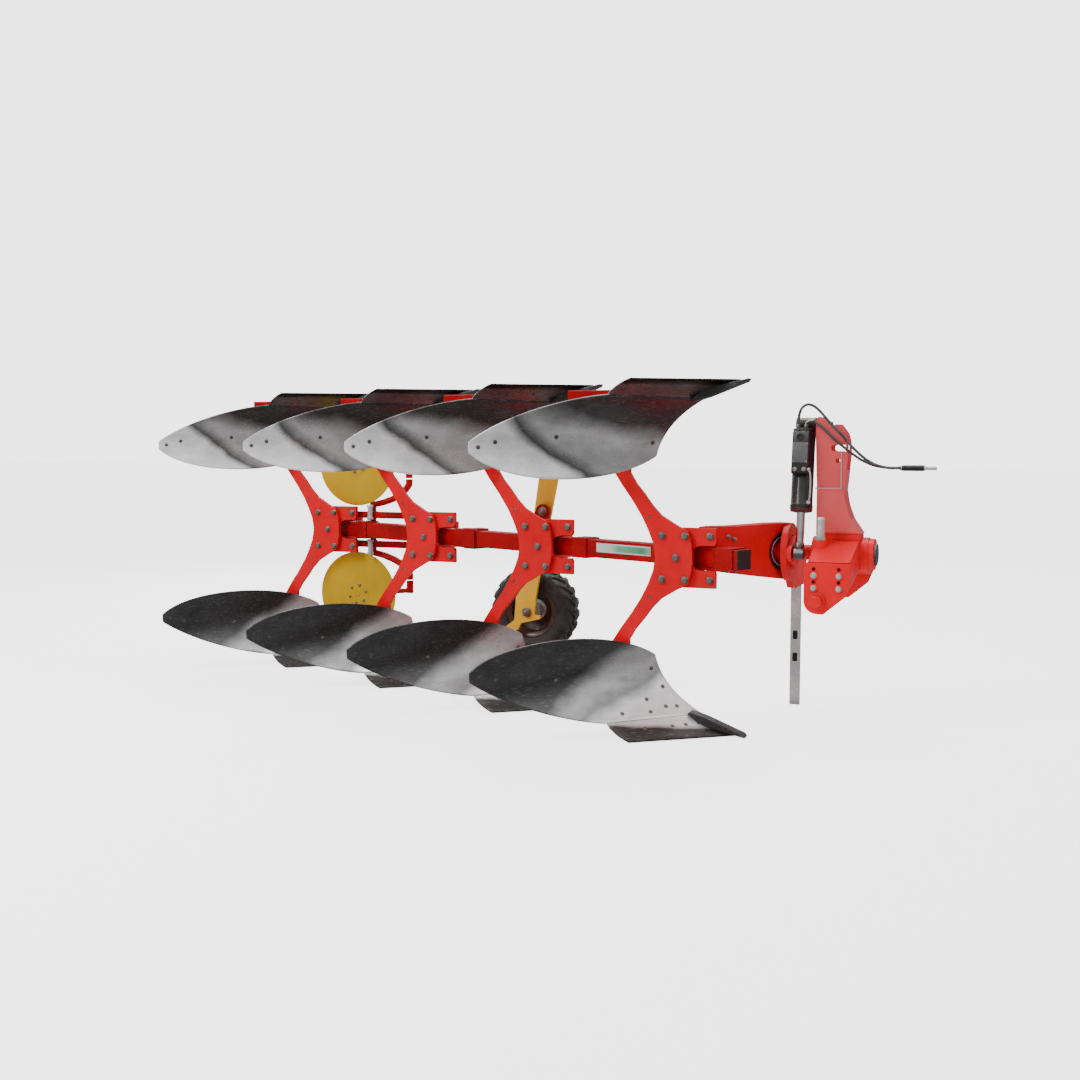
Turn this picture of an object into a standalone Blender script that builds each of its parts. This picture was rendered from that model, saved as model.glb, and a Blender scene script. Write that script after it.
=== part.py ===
"""Four-furrow mounted reversible moldboard plough, in metres, +Z up, +X towards the tractor.

The model is drawn around the turnover axis: X along the axis with 0 at the front leg's centre bolt,
Y to the left and Z up from the axis. One empty then lifts it so that the shares stand on Z = 0 and
the middle of the machine is over the origin. Four bodies hang down and turn soil to the right, and
four more, mirrored, point up and come into work when the frame is turned over.
"""

import math

import bmesh
import bpy
from mathutils import Matrix, Vector

# Driving dimensions.
BEAM_HEIGHT = 0.931            # turnover axis above the ground the shares stand on
CENTRE_X = -1.38802            # middle of the machine's length, from the front leg
CENTRE_Y = -0.20026            # middle of its width, from the turnover axis
BODIES = 4
BODY_SPACING = 0.95            # from one leg to the next, along the travel
FURROW_STEP = 0.398            # from one leg to the next, across the travel
FIRST_LEG_Y = -0.597
BEAM_SIZE = 0.10
BEAM_LEFT_OF_LEG = 0.168       # centre of the beam left of each leg plate
BEAM_SLOPE = -FURROW_STEP / BODY_SPACING
PLATE = 0.030                  # leg and console plate thickness
GAP = 0.0003                   # between pieces that touch
RUNNING_GAP = 0.006            # between pieces that move past each other
BARREL_X = 0.548               # plane of the turnover cylinder and its crank eye
BARREL_TOP = 0.700             # cylinder head pin above the turnover axis
CRANK_RADIUS = 0.120
WHEEL_PIVOT = (-1.045, 0.148, 0.185)
WHEEL_HUB = (-1.165, 0.278, -0.438)
WHEEL_RADIUS = 0.270
WHEEL_WIDTH = 0.20
RIM_RADIUS = 0.162
DISC_HUB = (-2.680, 0.697, -0.456)
DISC_RADIUS = 0.295
STAND_X = 0.432
STAND_Y = 0.394
STAND_SECTION = (0.058, 0.025)

for leftover in list(bpy.data.objects):
    bpy.data.objects.remove(leftover, do_unlink=True)

plough = bpy.data.collections.new("moldboard_plough")
bpy.context.scene.collection.children.link(plough)


# ---------------------------------------------------------------- materials

def paint(name, colour, roughness, metallic=0.0):
    material = bpy.data.materials.new(name)
    material.use_nodes = True
    shader = material.node_tree.nodes["Principled BSDF"]
    shader.inputs["Base Color"].default_value = (*colour, 1.0)
    shader.inputs["Roughness"].default_value = roughness
    shader.inputs["Metallic"].default_value = metallic
    return material


RED = paint("red_paint", (0.75, 0.012, 0.016), 0.35)
MUSTARD = paint("mustard_paint", (0.50, 0.33, 0.01), 0.45)
YELLOW = paint("yellow_paint", (0.80, 0.50, 0.03), 0.45)
STEEL = paint("polished_steel", (0.55, 0.55, 0.56), 0.25, 1.0)
SHARE_STEEL = paint("share_steel", (0.40, 0.40, 0.41), 0.35, 1.0)
GALVANISED = paint("zinc_steel", (0.55, 0.57, 0.58), 0.45, 0.9)
CHROME = paint("chrome_rod", (0.85, 0.85, 0.87), 0.08, 1.0)
BLACK = paint("black_paint", (0.02, 0.02, 0.02), 0.40)
RUBBER = paint("rubber", (0.02, 0.02, 0.02), 0.80)
RIM_PAINT = paint("brown_rim", (0.06, 0.025, 0.015), 0.50)


# ---------------------------------------------------------------- placing

def empty(name, position, parent):
    marker = bpy.data.objects.new(name, None)
    plough.objects.link(marker)
    marker.parent = parent
    marker.location = position
    return marker


def link(name, mesh, material, parent=None):
    """Add a mesh drawn in the plough's own frame, with its origin at its parent's place."""
    body = bpy.data.objects.new(name, mesh)
    mesh.name = name
    mesh.materials.clear()
    mesh.materials.append(material)
    plough.objects.link(body)
    if parent is not None:
        body.parent = parent
        if parent is not ORIGIN:
            mesh.transform(Matrix.Translation(-parent.location))
    mesh.set_sharp_from_angle(angle=math.radians(35))
    return body


ORIGIN = empty("plough_origin", (-CENTRE_X, -CENTRE_Y, BEAM_HEIGHT), None)
WHEEL_SWING = empty("wheel_swing_axis", WHEEL_PIVOT, ORIGIN)
WHEEL_SPIN = empty("wheel_spin_axis", WHEEL_HUB, ORIGIN)
LOWER_DISC_SPIN = empty("lower_disc_axis", DISC_HUB, ORIGIN)
UPPER_DISC_SPIN = empty("upper_disc_axis", (DISC_HUB[0], DISC_HUB[1], -DISC_HUB[2]), ORIGIN)
CYLINDER_HEAD = empty("cylinder_head_pin", (BARREL_X, 0.0, BARREL_TOP), ORIGIN)


# ---------------------------------------------------------------- shapes

def mesh_from(work):
    bmesh.ops.recalc_face_normals(work, faces=work.faces)
    mesh = bpy.data.meshes.new("shape")
    work.to_mesh(mesh)
    work.free()
    return mesh


def block(size, centre, turn=Matrix.Identity(4), bevel=0.0):
    """A box, turned about its own centre, with its edges bevelled once where asked."""
    work = bmesh.new()
    bmesh.ops.create_cube(work, size=1.0)
    bmesh.ops.scale(work, vec=size, verts=work.verts)
    if bevel:
        bmesh.ops.bevel(work, geom=list(work.edges), offset=bevel, segments=1, affect="EDGES")
    bmesh.ops.transform(work, matrix=Matrix.Translation(centre) @ turn, verts=work.verts)
    return mesh_from(work)


def bar(start, end, radius, sides=20, end_radius=None):
    """A round bar between two points, or a cone where the end radius differs."""
    start, end = Vector(start), Vector(end)
    along = end - start
    work = bmesh.new()
    bmesh.ops.create_cone(work, cap_ends=True, segments=sides, radius1=radius,
                          radius2=radius if end_radius is None else end_radius, depth=along.length)
    turn = along.to_track_quat("Z", "Y").to_matrix().to_4x4()
    bmesh.ops.transform(work, matrix=Matrix.Translation((start + end) / 2) @ turn, verts=work.verts)
    return mesh_from(work)


def sheet(outlines, thickness, low_face, across="Y"):
    """A flat plate: outlines in two axes, the first is the edge and the others are holes.

    Across Y the outlines are (x, z), across X they are (y, z).
    low_face is the plate's lower face along that axis.
    """
    curve = bpy.data.curves.new("outline", "CURVE")
    curve.dimensions = "2D"
    curve.fill_mode = "BOTH"
    curve.extrude = thickness / 2
    for outline in outlines:
        spline = curve.splines.new("POLY")
        spline.points.add(len(outline) - 1)
        for point, (a, b) in zip(spline.points, outline):
            point.co = (a, b, 0.0, 1.0)
        spline.use_cyclic_u = True
    drawing = bpy.data.objects.new("outline", curve)
    bpy.context.scene.collection.objects.link(drawing)
    bpy.context.view_layer.update()
    mesh = bpy.data.meshes.new_from_object(drawing.evaluated_get(bpy.context.evaluated_depsgraph_get()))
    bpy.data.objects.remove(drawing)
    bpy.data.curves.remove(curve)
    middle = low_face + thickness / 2
    placing = {
        "X": Matrix(((0, 0, 1, middle), (1, 0, 0, 0), (0, 1, 0, 0), (0, 0, 0, 1))),
        "Y": Matrix(((1, 0, 0, 0), (0, 0, -1, middle), (0, 1, 0, 0), (0, 0, 0, 1))),
    }[across]
    work = bmesh.new()
    work.from_mesh(mesh)
    bpy.data.meshes.remove(mesh)
    bmesh.ops.remove_doubles(work, verts=work.verts, dist=0.00001)
    bmesh.ops.transform(work, matrix=placing, verts=work.verts)
    return mesh_from(work)


def combine(first, others, operation="UNION"):
    """Join meshes into one body, or cut the others out of the first."""
    base = bpy.data.objects.new("base", first)
    bpy.context.scene.collection.objects.link(base)
    tools = []
    for mesh in others:
        tool = bpy.data.objects.new("tool", mesh)
        bpy.context.scene.collection.objects.link(tool)
        modifier = base.modifiers.new("combine", "BOOLEAN")
        modifier.operation = operation
        modifier.object = tool
        tools.append(tool)
    bpy.context.view_layer.update()
    result = bpy.data.meshes.new_from_object(base.evaluated_get(bpy.context.evaluated_depsgraph_get()))
    for used in [base] + tools:
        bpy.data.objects.remove(used)
    work = bmesh.new()
    work.from_mesh(result)
    bpy.data.meshes.remove(result)
    bmesh.ops.remove_doubles(work, verts=work.verts, dist=0.00002)
    bmesh.ops.dissolve_degenerate(work, edges=work.edges, dist=0.00002)
    return mesh_from(work)


def mirrored(mesh, axis="Z"):
    """The same shape on the other side of the turnover axis's level (Z) or of its plane (Y)."""
    work = bmesh.new()
    work.from_mesh(mesh)
    scale = (1, 1, -1) if axis == "Z" else (1, -1, 1)
    bmesh.ops.scale(work, vec=scale, verts=work.verts)
    bmesh.ops.reverse_faces(work, faces=work.faces)
    return mesh_from(work)


def moved(mesh, offset):
    copy = mesh.copy()
    copy.transform(Matrix.Translation(offset))
    return copy


def ring(centre, radius, sides=16, start=0.0, sweep=2 * math.pi):
    """Points of a circle, or of an arc when the sweep is less than a turn."""
    steps = sides if sweep >= 2 * math.pi else sides + 1
    return [(centre[0] + radius * math.cos(start + sweep * k / sides),
             centre[1] + radius * math.sin(start + sweep * k / sides)) for k in range(steps)]


def smooth(points, steps=4):
    """A Catmull-Rom curve through the points, from the first to the last."""
    ends = [points[0]] + list(points) + [points[-1]]
    curve = []
    for k in range(len(points) - 1):
        p0, p1, p2, p3 = (Vector(p) for p in ends[k:k + 4])
        for j in range(steps):
            t = j / steps
            curve.append(0.5 * ((2 * p1) + (p2 - p0) * t + (2 * p0 - 5 * p1 + 4 * p2 - p3) * t * t
                                + (3 * p1 - p0 - 3 * p2 + p3) * t ** 3))
    curve.append(Vector(points[-1]))
    return [tuple(p) for p in curve]


def bezier(a, b, c, d, t):
    """One point of a cubic Bezier curve, in any number of axes."""
    weights = ((1 - t) ** 3, 3 * t * (1 - t) ** 2, 3 * t * t * (1 - t), t ** 3)
    return tuple(sum(w * p[k] for w, p in zip(weights, (a, b, c, d))) for k in range(len(a)))


def beam_y(x):
    """Centre line of the main beam: it runs diagonally back to the left."""
    return FIRST_LEG_Y + BEAM_LEFT_OF_LEG + BEAM_SLOPE * x


BEAM_TURN = Matrix.Rotation(math.atan(BEAM_SLOPE), 4, "Z")
BEAM_COS = math.cos(math.atan(BEAM_SLOPE))


def along_beam(x_front, x_rear, width, height, bevel=0.0):
    """A box on the beam's centre line, between two stations."""
    middle = (x_front + x_rear) / 2
    length = (x_front - x_rear) / BEAM_COS
    return block((length, width, height), (middle, beam_y(middle), 0.0), BEAM_TURN, bevel)


# ---------------------------------------------------------------- main beam

BEAM_FRONT = 0.350
BEAM_REAR = -2.960
SLEEVE = 0.116
beam = combine(along_beam(BEAM_FRONT, BEAM_REAR, BEAM_SIZE, BEAM_SIZE),
               [along_beam(0.325 - k * BODY_SPACING, 0.225 - k * BODY_SPACING, SLEEVE, SLEEVE)
                for k in range(BODIES)]
               + [along_beam(-1.50, -1.59, 0.125, 0.125)])
link("main_beam", beam, RED, ORIGIN)
CAP_THICKNESS = 0.012
cap_x = BEAM_FRONT + GAP
link("beam_end_cap", along_beam(cap_x + CAP_THICKNESS, cap_x, 0.104, 0.104, 0.002), BLACK, ORIGIN)


# ---------------------------------------------------------------- legs, consoles

REAR_EDGE = [(-0.365, -0.560), (-0.344, -0.450), (-0.188, -0.216), (-0.113, 0.0),
             (-0.188, 0.216), (-0.344, 0.450), (-0.365, 0.560)]
LOWER_FRONT_EDGE = [(-0.245, -0.560), (-0.254, -0.445), (-0.173, -0.331), (-0.081, -0.221),
                    (0.064, -0.140)]
FOOT = [(-0.350, -0.680), (-0.300, -0.800), (-0.120, -0.800), (-0.200, -0.660)]
FRONT_BULGE = 0.098
CONSOLE_LUG = 0.190


def leg_plate():
    """The bow-shaped plate that carries a lower and an upper body."""
    rear = smooth(REAR_EDGE, 3)
    lower_front = smooth(LOWER_FRONT_EDGE, 2)
    upper_front = [(x, -z) for x, z in reversed(lower_front)]
    bulge = [bezier((0.064, -0.140), (FRONT_BULGE, -0.06), (FRONT_BULGE, 0.06), (0.064, 0.140), k / 5)
             for k in range(1, 5)]
    foot_rear, foot_front = FOOT[:2], FOOT[2:]
    outline = (foot_rear[::-1] + rear + [(x, -z) for x, z in foot_rear + foot_front]
               + upper_front[::-1] + bulge[::-1] + lower_front[::-1] + foot_front[::-1])
    holes = [ring((-0.142, side * 0.211), 0.009, 8) for side in (-1, 1)]
    return sheet([outline] + holes, PLATE, -PLATE / 2)


def console():
    """The clamp plate behind each leg, with the recess that lets the beam through, and its two lugs."""
    recess = [(0.200, 0.066), (0.130, 0.066)]
    recess += ring((0.130, 0.0), 0.066, 6, math.pi / 2, math.pi) + [(0.200, -0.066)]
    outline = [(0.208, -0.158), (0.208, -0.080)] + list(reversed(recess)) + [
        (0.208, 0.080), (0.208, 0.158), (-0.085, 0.158), (-0.085, -0.158)]
    plate = sheet([outline], PLATE, PLATE / 2 + GAP)
    lug_depth = 0.250
    lug_start = PLATE * 1.4                # inside the plate, so that the lug joins it
    lugs = [block((CONSOLE_LUG, lug_depth, PLATE), (0.0, lug_start + lug_depth / 2, side * 0.068))
            for side in (-1, 1)]
    back = block((CONSOLE_LUG, PLATE, 0.166), (0.0, lug_start + lug_depth, 0.0))
    return combine(plate, lugs + [back])


leg_mesh = leg_plate()
console_mesh = console()


def leg_place(number):
    return (-number * BODY_SPACING, FIRST_LEG_Y + number * FURROW_STEP, 0.0)


for number in range(BODIES):
    link(f"leg_{number + 1}", moved(leg_mesh, leg_place(number)), RED, ORIGIN)
    link(f"console_{number + 1}", moved(console_mesh, leg_place(number)), RED, ORIGIN)


# ---------------------------------------------------------------- plough bodies

SHARE_TIP = Vector((0.373, 0.028))
SHARE_ANGLE = math.radians(38.2)       # share edge to the direction of travel
TOP_TWIST = math.radians(8.4)          # how much more the top turns the soil
SET_BACK = 0.6                         # the guide curve's place along the share edge
ENTRY_ANGLE = math.radians(18.0)
CURL_RADIUS = 0.4558
SEAM = 0.100                           # height of the share's back edge
SHIN_Y = 0.075                         # the land side of the body
MOLDBOARD_THICKNESS = 0.009
SHARE_THICKNESS = 0.011


def soil_surface(along, height):
    """The working face: a level line that rises up a circular guide curve and turns as it rises."""
    fall = max(-1.0, math.cos(ENTRY_ANGLE) - height / CURL_RADIUS)
    back = CURL_RADIUS * (math.sin(math.acos(fall)) - math.sin(ENTRY_ANGLE))
    turn = SHARE_ANGLE + TOP_TWIST * height / 0.37
    edge = Vector((-math.cos(SHARE_ANGLE), -math.sin(SHARE_ANGLE)))
    across = Vector((-math.sin(SHARE_ANGLE), math.cos(SHARE_ANGLE)))
    guide = SHARE_TIP + edge * SET_BACK + across * back
    reach = along - SET_BACK
    return Vector((guide.x - math.cos(turn) * reach, guide.y - math.sin(turn) * reach,
                   height - BEAM_HEIGHT))


def shin_line(height):
    """Where the working face meets the land side, measured along the share edge."""
    turn = SHARE_ANGLE + TOP_TWIST * height / 0.37
    return SET_BACK + (soil_surface(SET_BACK, height).y - SHIN_Y) / math.sin(turn)


def moldboard_top(t):
    return bezier((0.0, 0.400), (0.16, 0.530), (0.83, 0.585), (1.075, 0.375), t)


def moldboard_bottom(t):
    wing = 0.42
    if t < wing:
        return (0.57 * t / wing, SEAM - 0.012 * t / wing)
    return bezier((0.57, SEAM - 0.012), (0.76, 0.105), (0.95, 0.200), (1.085, 0.325), (t - wing) / (1 - wing))


def shell(corner_low, corner_high, columns, rows, thickness):
    """A curved plate of the working face between a low and a high edge, thickened behind."""
    work = bmesh.new()
    grid = []
    for i in range(columns + 1):
        low, high = corner_low(i / columns), corner_high(i / columns)
        line = []
        for j in range(rows + 1):
            v = j / rows
            height = low[1] + (high[1] - low[1]) * v
            along = low[0] + (high[0] - low[0]) * v + shin_line(height)
            line.append(work.verts.new(soil_surface(along, height)))
        grid.append(line)
    for i in range(columns):
        for j in range(rows):
            work.faces.new((grid[i][j], grid[i][j + 1], grid[i + 1][j + 1], grid[i + 1][j]))
    bmesh.ops.recalc_face_normals(work, faces=work.faces)
    work.faces.ensure_lookup_table()
    if work.faces[0].normal.x < 0:
        bmesh.ops.reverse_faces(work, faces=work.faces)
    mesh = bpy.data.meshes.new("shell")
    work.to_mesh(mesh)
    work.free()
    body = bpy.data.objects.new("shell", mesh)
    bpy.context.scene.collection.objects.link(body)
    solidify = body.modifiers.new("thickness", "SOLIDIFY")
    solidify.thickness = thickness
    solidify.offset = -1.0
    bpy.context.view_layer.update()
    result = bpy.data.meshes.new_from_object(body.evaluated_get(bpy.context.evaluated_depsgraph_get()))
    bpy.data.objects.remove(body)
    return result


def share():
    """The cutting share and the reversible chisel point bolted over its nose."""
    low_edge = 0.0125
    blade = shell(lambda t: (0.06 + 0.60 * t, low_edge),
                  lambda t: (0.04 + 0.53 * t, SEAM - 0.012 * t - 0.002), 4, 2, SHARE_THICKNESS)
    floor = -BEAM_HEIGHT
    wedge = [(0.373, floor), (0.165, floor + 0.042), (0.165, floor + 0.092), (0.362, floor + 0.018)]
    chisel = sheet([wedge], 0.073, SHIN_Y - 0.075)
    return combine(blade, [chisel])


def landside():
    """The frog plate that joins leg, share and moldboard, with the long landside bar it carries."""
    frog = sheet([[(-0.330, -0.900), (0.070, -0.900), (0.070, -0.880), (-0.020, -0.825), (-0.125, -0.725),
                   (-0.190, -0.620), (-0.330, -0.620)]], PLATE, PLATE / 2 + GAP)
    slade = block((0.690, 0.034, 0.048), (-0.285, 0.058, -0.859), bevel=0.004)
    return combine(frog, [slade])


moldboard_mesh = shell(moldboard_bottom, moldboard_top, 9, 5, MOLDBOARD_THICKNESS)
share_mesh = share()
landside_mesh = landside()

for number in range(BODIES):
    for level, turned in (("lower", False), ("upper", True)):
        for part, mesh, material in (("moldboard", moldboard_mesh, STEEL), ("share", share_mesh, SHARE_STEEL),
                                     ("landside", landside_mesh, RED)):
            placed = moved(mirrored(mesh) if turned else mesh, leg_place(number))
            link(f"{part}_{level}_{number + 1}", placed, material, ORIGIN)


# ---------------------------------------------------------------- front arm and turnover shaft

ARM_START = Vector((0.150, -0.477))
ARM_END = Vector((0.470, -0.047))
ARM_THICKNESS = 0.11
HOUSING_X = (0.605, 0.905)             # the headstock's bearing housing
FLANGE_X = (0.452, 0.488)
FLANGE_RADIUS = 0.160
SHAFT_RADIUS = 0.055
NECK_RADIUS = 0.042                    # where the cylinder's eye passes over the shaft


def front_arm():
    """The deep arm from the first console to the turnover flange, with its round window and stand guide."""
    length = (ARM_END - ARM_START).length
    outline = [(-0.060, -0.066), (0.030, -0.080), (length * 0.6, -0.122), (length, -0.150),
               (length + 0.05, -0.150), (length + 0.05, 0.160), (length * 0.85, 0.162), (0.18, 0.155),
               (-0.060, 0.160)]
    slab = sheet([outline], ARM_THICKNESS, 0.0)
    heading = (ARM_END - ARM_START).normalized()
    placing = Matrix(((heading.x, -heading.y, 0, ARM_START.x), (heading.y, heading.x, 0, ARM_START.y),
                      (0, 0, 1, 0), (0, 0, 0, 1)))
    slab.transform(placing)
    window = bar((length - 0.02, -0.02, 0.006), (length - 0.02, 0.075, 0.006), 0.112, 20)
    window.transform(placing)
    beam_tunnel = along_beam(0.45, -0.30, BEAM_SIZE + 2 * GAP, BEAM_SIZE + 2 * GAP)
    trim_front = block((0.20, 0.80, 0.80), (FLANGE_X[1] + 0.10, 0.0, 0.0))
    trim_rear = block((0.40, 0.80, 0.80), (CONSOLE_LUG / 2 + GAP - 0.20, ARM_START.y, 0.0))
    arm = combine(slab, [window, beam_tunnel, trim_front, trim_rear], "DIFFERENCE")
    flange = bar((FLANGE_X[0], 0, 0), (FLANGE_X[1], 0, 0), FLANGE_RADIUS, 24)
    boss = bar((FLANGE_X[0] - 0.12, 0, 0), (FLANGE_X[0] + 0.01, 0, 0), 0.078, 20)
    lobe = sheet([[(-0.02, -0.150), (0.04, -0.205), (0.12, -0.215), (0.440, -0.215), (0.440, -0.060),
                   (0.02, 0.02)]], 0.030, FLANGE_X[0], "X")
    guide = block((0.082, 0.066, 0.150), (STAND_X, STAND_Y, -0.135))
    arm = combine(arm, [flange, boss, lobe, guide])
    slot = block((STAND_SECTION[0] + 2 * RUNNING_GAP, STAND_SECTION[1] + 2 * RUNNING_GAP, 0.40),
                 (STAND_X, STAND_Y, -0.135))
    return combine(arm, [slot], "DIFFERENCE")


link("front_arm", front_arm(), RED, ORIGIN)


def turnover_shaft():
    """The shaft that the frame turns on, with the crank the cylinder pulls on."""
    crank_x = FLANGE_X[1] + GAP
    crank = sheet([ring((-CRANK_RADIUS, 0.0), 0.045, 8, math.pi / 2, math.pi)
                   + ring((0.0, 0.0), 0.090, 14, -math.pi * 0.65, math.pi * 1.3)], 0.024, crank_x, "X")
    neck = bar((crank_x + 0.01, 0, 0), (0.62, 0, 0), NECK_RADIUS, 20)
    shaft = bar((HOUSING_X[0] + 0.006, 0, 0), (0.931, 0, 0), SHAFT_RADIUS, 20)
    return combine(crank, [neck, shaft])


link("turnover_shaft", turnover_shaft(), RED, ORIGIN)


# ---------------------------------------------------------------- headstock

HOUSING_RADIUS = 0.092
ARM_X = (0.645, 0.862)
LINK_Y = 0.385
SOCKET_TOP = 0.082


def headstock():
    """The turnover bearing housing with its sloping arms and the sockets of the tilt stops."""
    housing = bar((HOUSING_X[0], 0, 0), (HOUSING_X[1], 0, 0), HOUSING_RADIUS, 24)
    right_half = [(0.0, -0.085), (-0.090, -0.085), (-0.300, -0.140), (-LINK_Y, -0.140), (-LINK_Y, -0.015),
                  (-0.105, 0.074), (-0.0705, 0.074), (-0.0705, 0.1122), (0.0, 0.1122)]
    profile = right_half + [(-y, z) for y, z in reversed(right_half[1:-1])]
    arms = sheet([profile], ARM_X[1] - ARM_X[0], ARM_X[0], "X")
    collar = bar((0.850, 0, 0), (0.935, 0, 0), 0.085, 24)
    sockets = [bar((0.672, side * 0.177, 0.0), (0.672, side * 0.177, SOCKET_TOP), 0.038, 14)
               for side in (-1, 1)]
    body = combine(housing, [arms, collar] + sockets)
    bore = bar((0.55, 0, 0), (0.9325, 0, 0), SHAFT_RADIUS + 0.0008, 20)
    return combine(body, [bore], "DIFFERENCE")


link("headstock", headstock(), RED, ORIGIN)
link("bearing_cap", bar((0.9353, 0, 0), (0.948, 0, 0), 0.060, 24), GALVANISED, ORIGIN)


def tower():
    """The top link tower: a closed foot, two cheeks with open slots and a curved front flange."""
    foot_front = smooth([(0.814, 0.19), (0.786, 0.27), (0.772, 0.352)], 3)
    foot = sheet([[(0.628, 0.1125), (0.867, 0.1125)] + foot_front + [(0.628, 0.352)]], 0.140, -0.070)
    outline = [(0.628, 0.340), (0.757, 0.340), (0.757, 0.555), (0.717, 0.555)]
    outline += ring((0.717, 0.572), 0.017, 4, -math.pi / 2, -math.pi)[1:]
    outline += [(0.757, 0.589), (0.748, 0.633), (0.655, 0.735)]
    outline += ring((0.637, 0.722), 0.019, 4, math.pi / 4, math.pi * 0.75) + [(0.617, 0.640)]
    cheeks = [sheet([outline, ring((0.738, 0.505), 0.013, 10)], 0.018, y) for y in (-0.064, 0.046)]
    front_edge = smooth([(0.760, 0.330), (0.768, 0.40), (0.776, 0.50), (0.780, 0.56), (0.769, 0.64),
                         (0.728, 0.70)], 4)
    outer_edge = [(x + 0.012, z) for x, z in reversed(front_edge)]
    nose = sheet([front_edge + outer_edge], 0.128, -0.064)
    gap = block((0.20, 0.0915, 0.30), (0.80, 0.0, 0.605))
    nose = combine(nose, [gap], "DIFFERENCE")
    head_lug = bar((BARREL_X + 0.062, 0, BARREL_TOP), (0.665, 0, BARREL_TOP), 0.030, 20)
    tie = block((0.040, 0.128, 0.10), (0.668, 0.0, 0.665))
    return combine(foot, cheeks + [nose, tie, head_lug])


link("tower", tower(), RED, ORIGIN)


def link_plate():
    """The outer plate that carries the lower link pin, drawn for the right-hand side."""
    outline = [(0.632, -0.020), (0.632, -0.215)] + ring((0.700, -0.218), 0.068, 6, math.pi, math.pi / 2)
    outline += [(0.735, -0.286), (0.842, -0.195), (0.872, -0.120), (0.872, -0.020)]
    holes = [ring((x, z), 0.010, 8) for x in (0.683, 0.812) for z in (-0.050, -0.118)]
    plate = sheet([outline] + holes, 0.028, -LINK_Y - 0.028 - GAP)
    pin = bar((0.700, -LINK_Y - 0.02, -0.218), (0.700, -LINK_Y - 0.075, -0.218), 0.029, 20)
    return combine(plate, [pin])


plate_mesh = link_plate()
link("link_plate_right", plate_mesh, RED, ORIGIN)
link("link_plate_left", mirrored(plate_mesh, "Y"), RED, ORIGIN)

for side, sign in (("right", -1), ("left", 1)):
    spindle = bar((0.672, sign * 0.177, SOCKET_TOP + GAP), (0.672, sign * 0.177, 0.205), 0.0235, 16)
    link(f"tilt_spindle_{side}", spindle, GALVANISED, ORIGIN)


# ---------------------------------------------------------------- turnover cylinder

LEAN = math.asin(CRANK_RADIUS / math.hypot(CRANK_RADIUS, BARREL_TOP))
BARREL_RADIUS = 0.058
ROD_RADIUS = 0.020
EYE_RADIUS = 0.031
CYLINDER_TURN = Matrix.Translation((BARREL_X, 0, BARREL_TOP)) @ Matrix.Rotation(-LEAN, 4, "X")
PIN_DISTANCE = math.hypot(CRANK_RADIUS, BARREL_TOP)


def barrel():
    """The cylinder barrel, drawn hanging from its head pin, with the valve block on its right side."""
    tube = bar((0, 0, -0.462), (0, 0, -0.030), BARREL_RADIUS, 20)
    gland = bar((0, 0, -0.482), (0, 0, -0.445), 0.046, 20, 0.061)
    head = bar((-0.045, 0, 0), (0.0600, 0, 0), 0.038, 20)
    valve = block((0.092, 0.070, 0.235), (-0.002, -0.062, -0.1675), bevel=0.006)
    body = combine(tube, [gland, head, valve])
    bore = bar((0, 0, -0.50), (0, 0, -0.14), ROD_RADIUS + 0.001, 20)
    body = combine(body, [bore], "DIFFERENCE")
    body.transform(CYLINDER_TURN)
    return body


def rod():
    """The chromed rod and its eye, whose pin stops short of the crank."""
    stem = bar((0, 0, -PIN_DISTANCE + 0.02), (0, 0, -0.300), ROD_RADIUS, 20)
    eye = bar((-0.026, 0, -PIN_DISTANCE), (0.026, 0, -PIN_DISTANCE), EYE_RADIUS, 20)
    body = combine(stem, [eye])
    body.transform(CYLINDER_TURN)
    return body


link("cylinder_barrel", barrel(), BLACK, CYLINDER_HEAD)
link("cylinder_rod", rod(), CHROME, CYLINDER_HEAD)


# ---------------------------------------------------------------- hoses

HOSE_RADIUS = 0.0075
HOSE_STEPS = 3
GRIP_LENGTH = 0.115            # the black sleeve of a coupling
COUPLING_LENGTH = 0.175
HOSE_ROUTES = {
    "hose_front": [(0.528, -0.088, 0.672), (0.529, -0.090, 0.718), (0.534, -0.096, 0.757),
                   (0.550, -0.104, 0.789), (0.582, -0.110, 0.806), (0.617, -0.111, 0.795),
                   (0.650, -0.110, 0.766), (0.688, -0.108, 0.722), (0.736, -0.106, 0.672),
                   (0.782, -0.106, 0.622), (0.827, -0.107, 0.571), (0.888, -0.109, 0.517),
                   (0.946, -0.111, 0.485), (1.006, -0.112, 0.470), (1.045, -0.112, 0.469),
                   (1.075, -0.112, 0.469)],
    "hose_rear": [(0.567, -0.088, 0.672), (0.572, -0.089, 0.697), (0.587, -0.090, 0.716),
                  (0.611, -0.091, 0.716), (0.640, -0.091, 0.698), (0.676, -0.091, 0.664),
                  (0.720, -0.090, 0.622), (0.766, -0.088, 0.582), (0.812, -0.084, 0.546),
                  (0.868, -0.079, 0.508), (0.930, -0.075, 0.481), (0.996, -0.073, 0.470),
                  (1.045, -0.073, 0.469), (1.075, -0.073, 0.469)],
}


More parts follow.
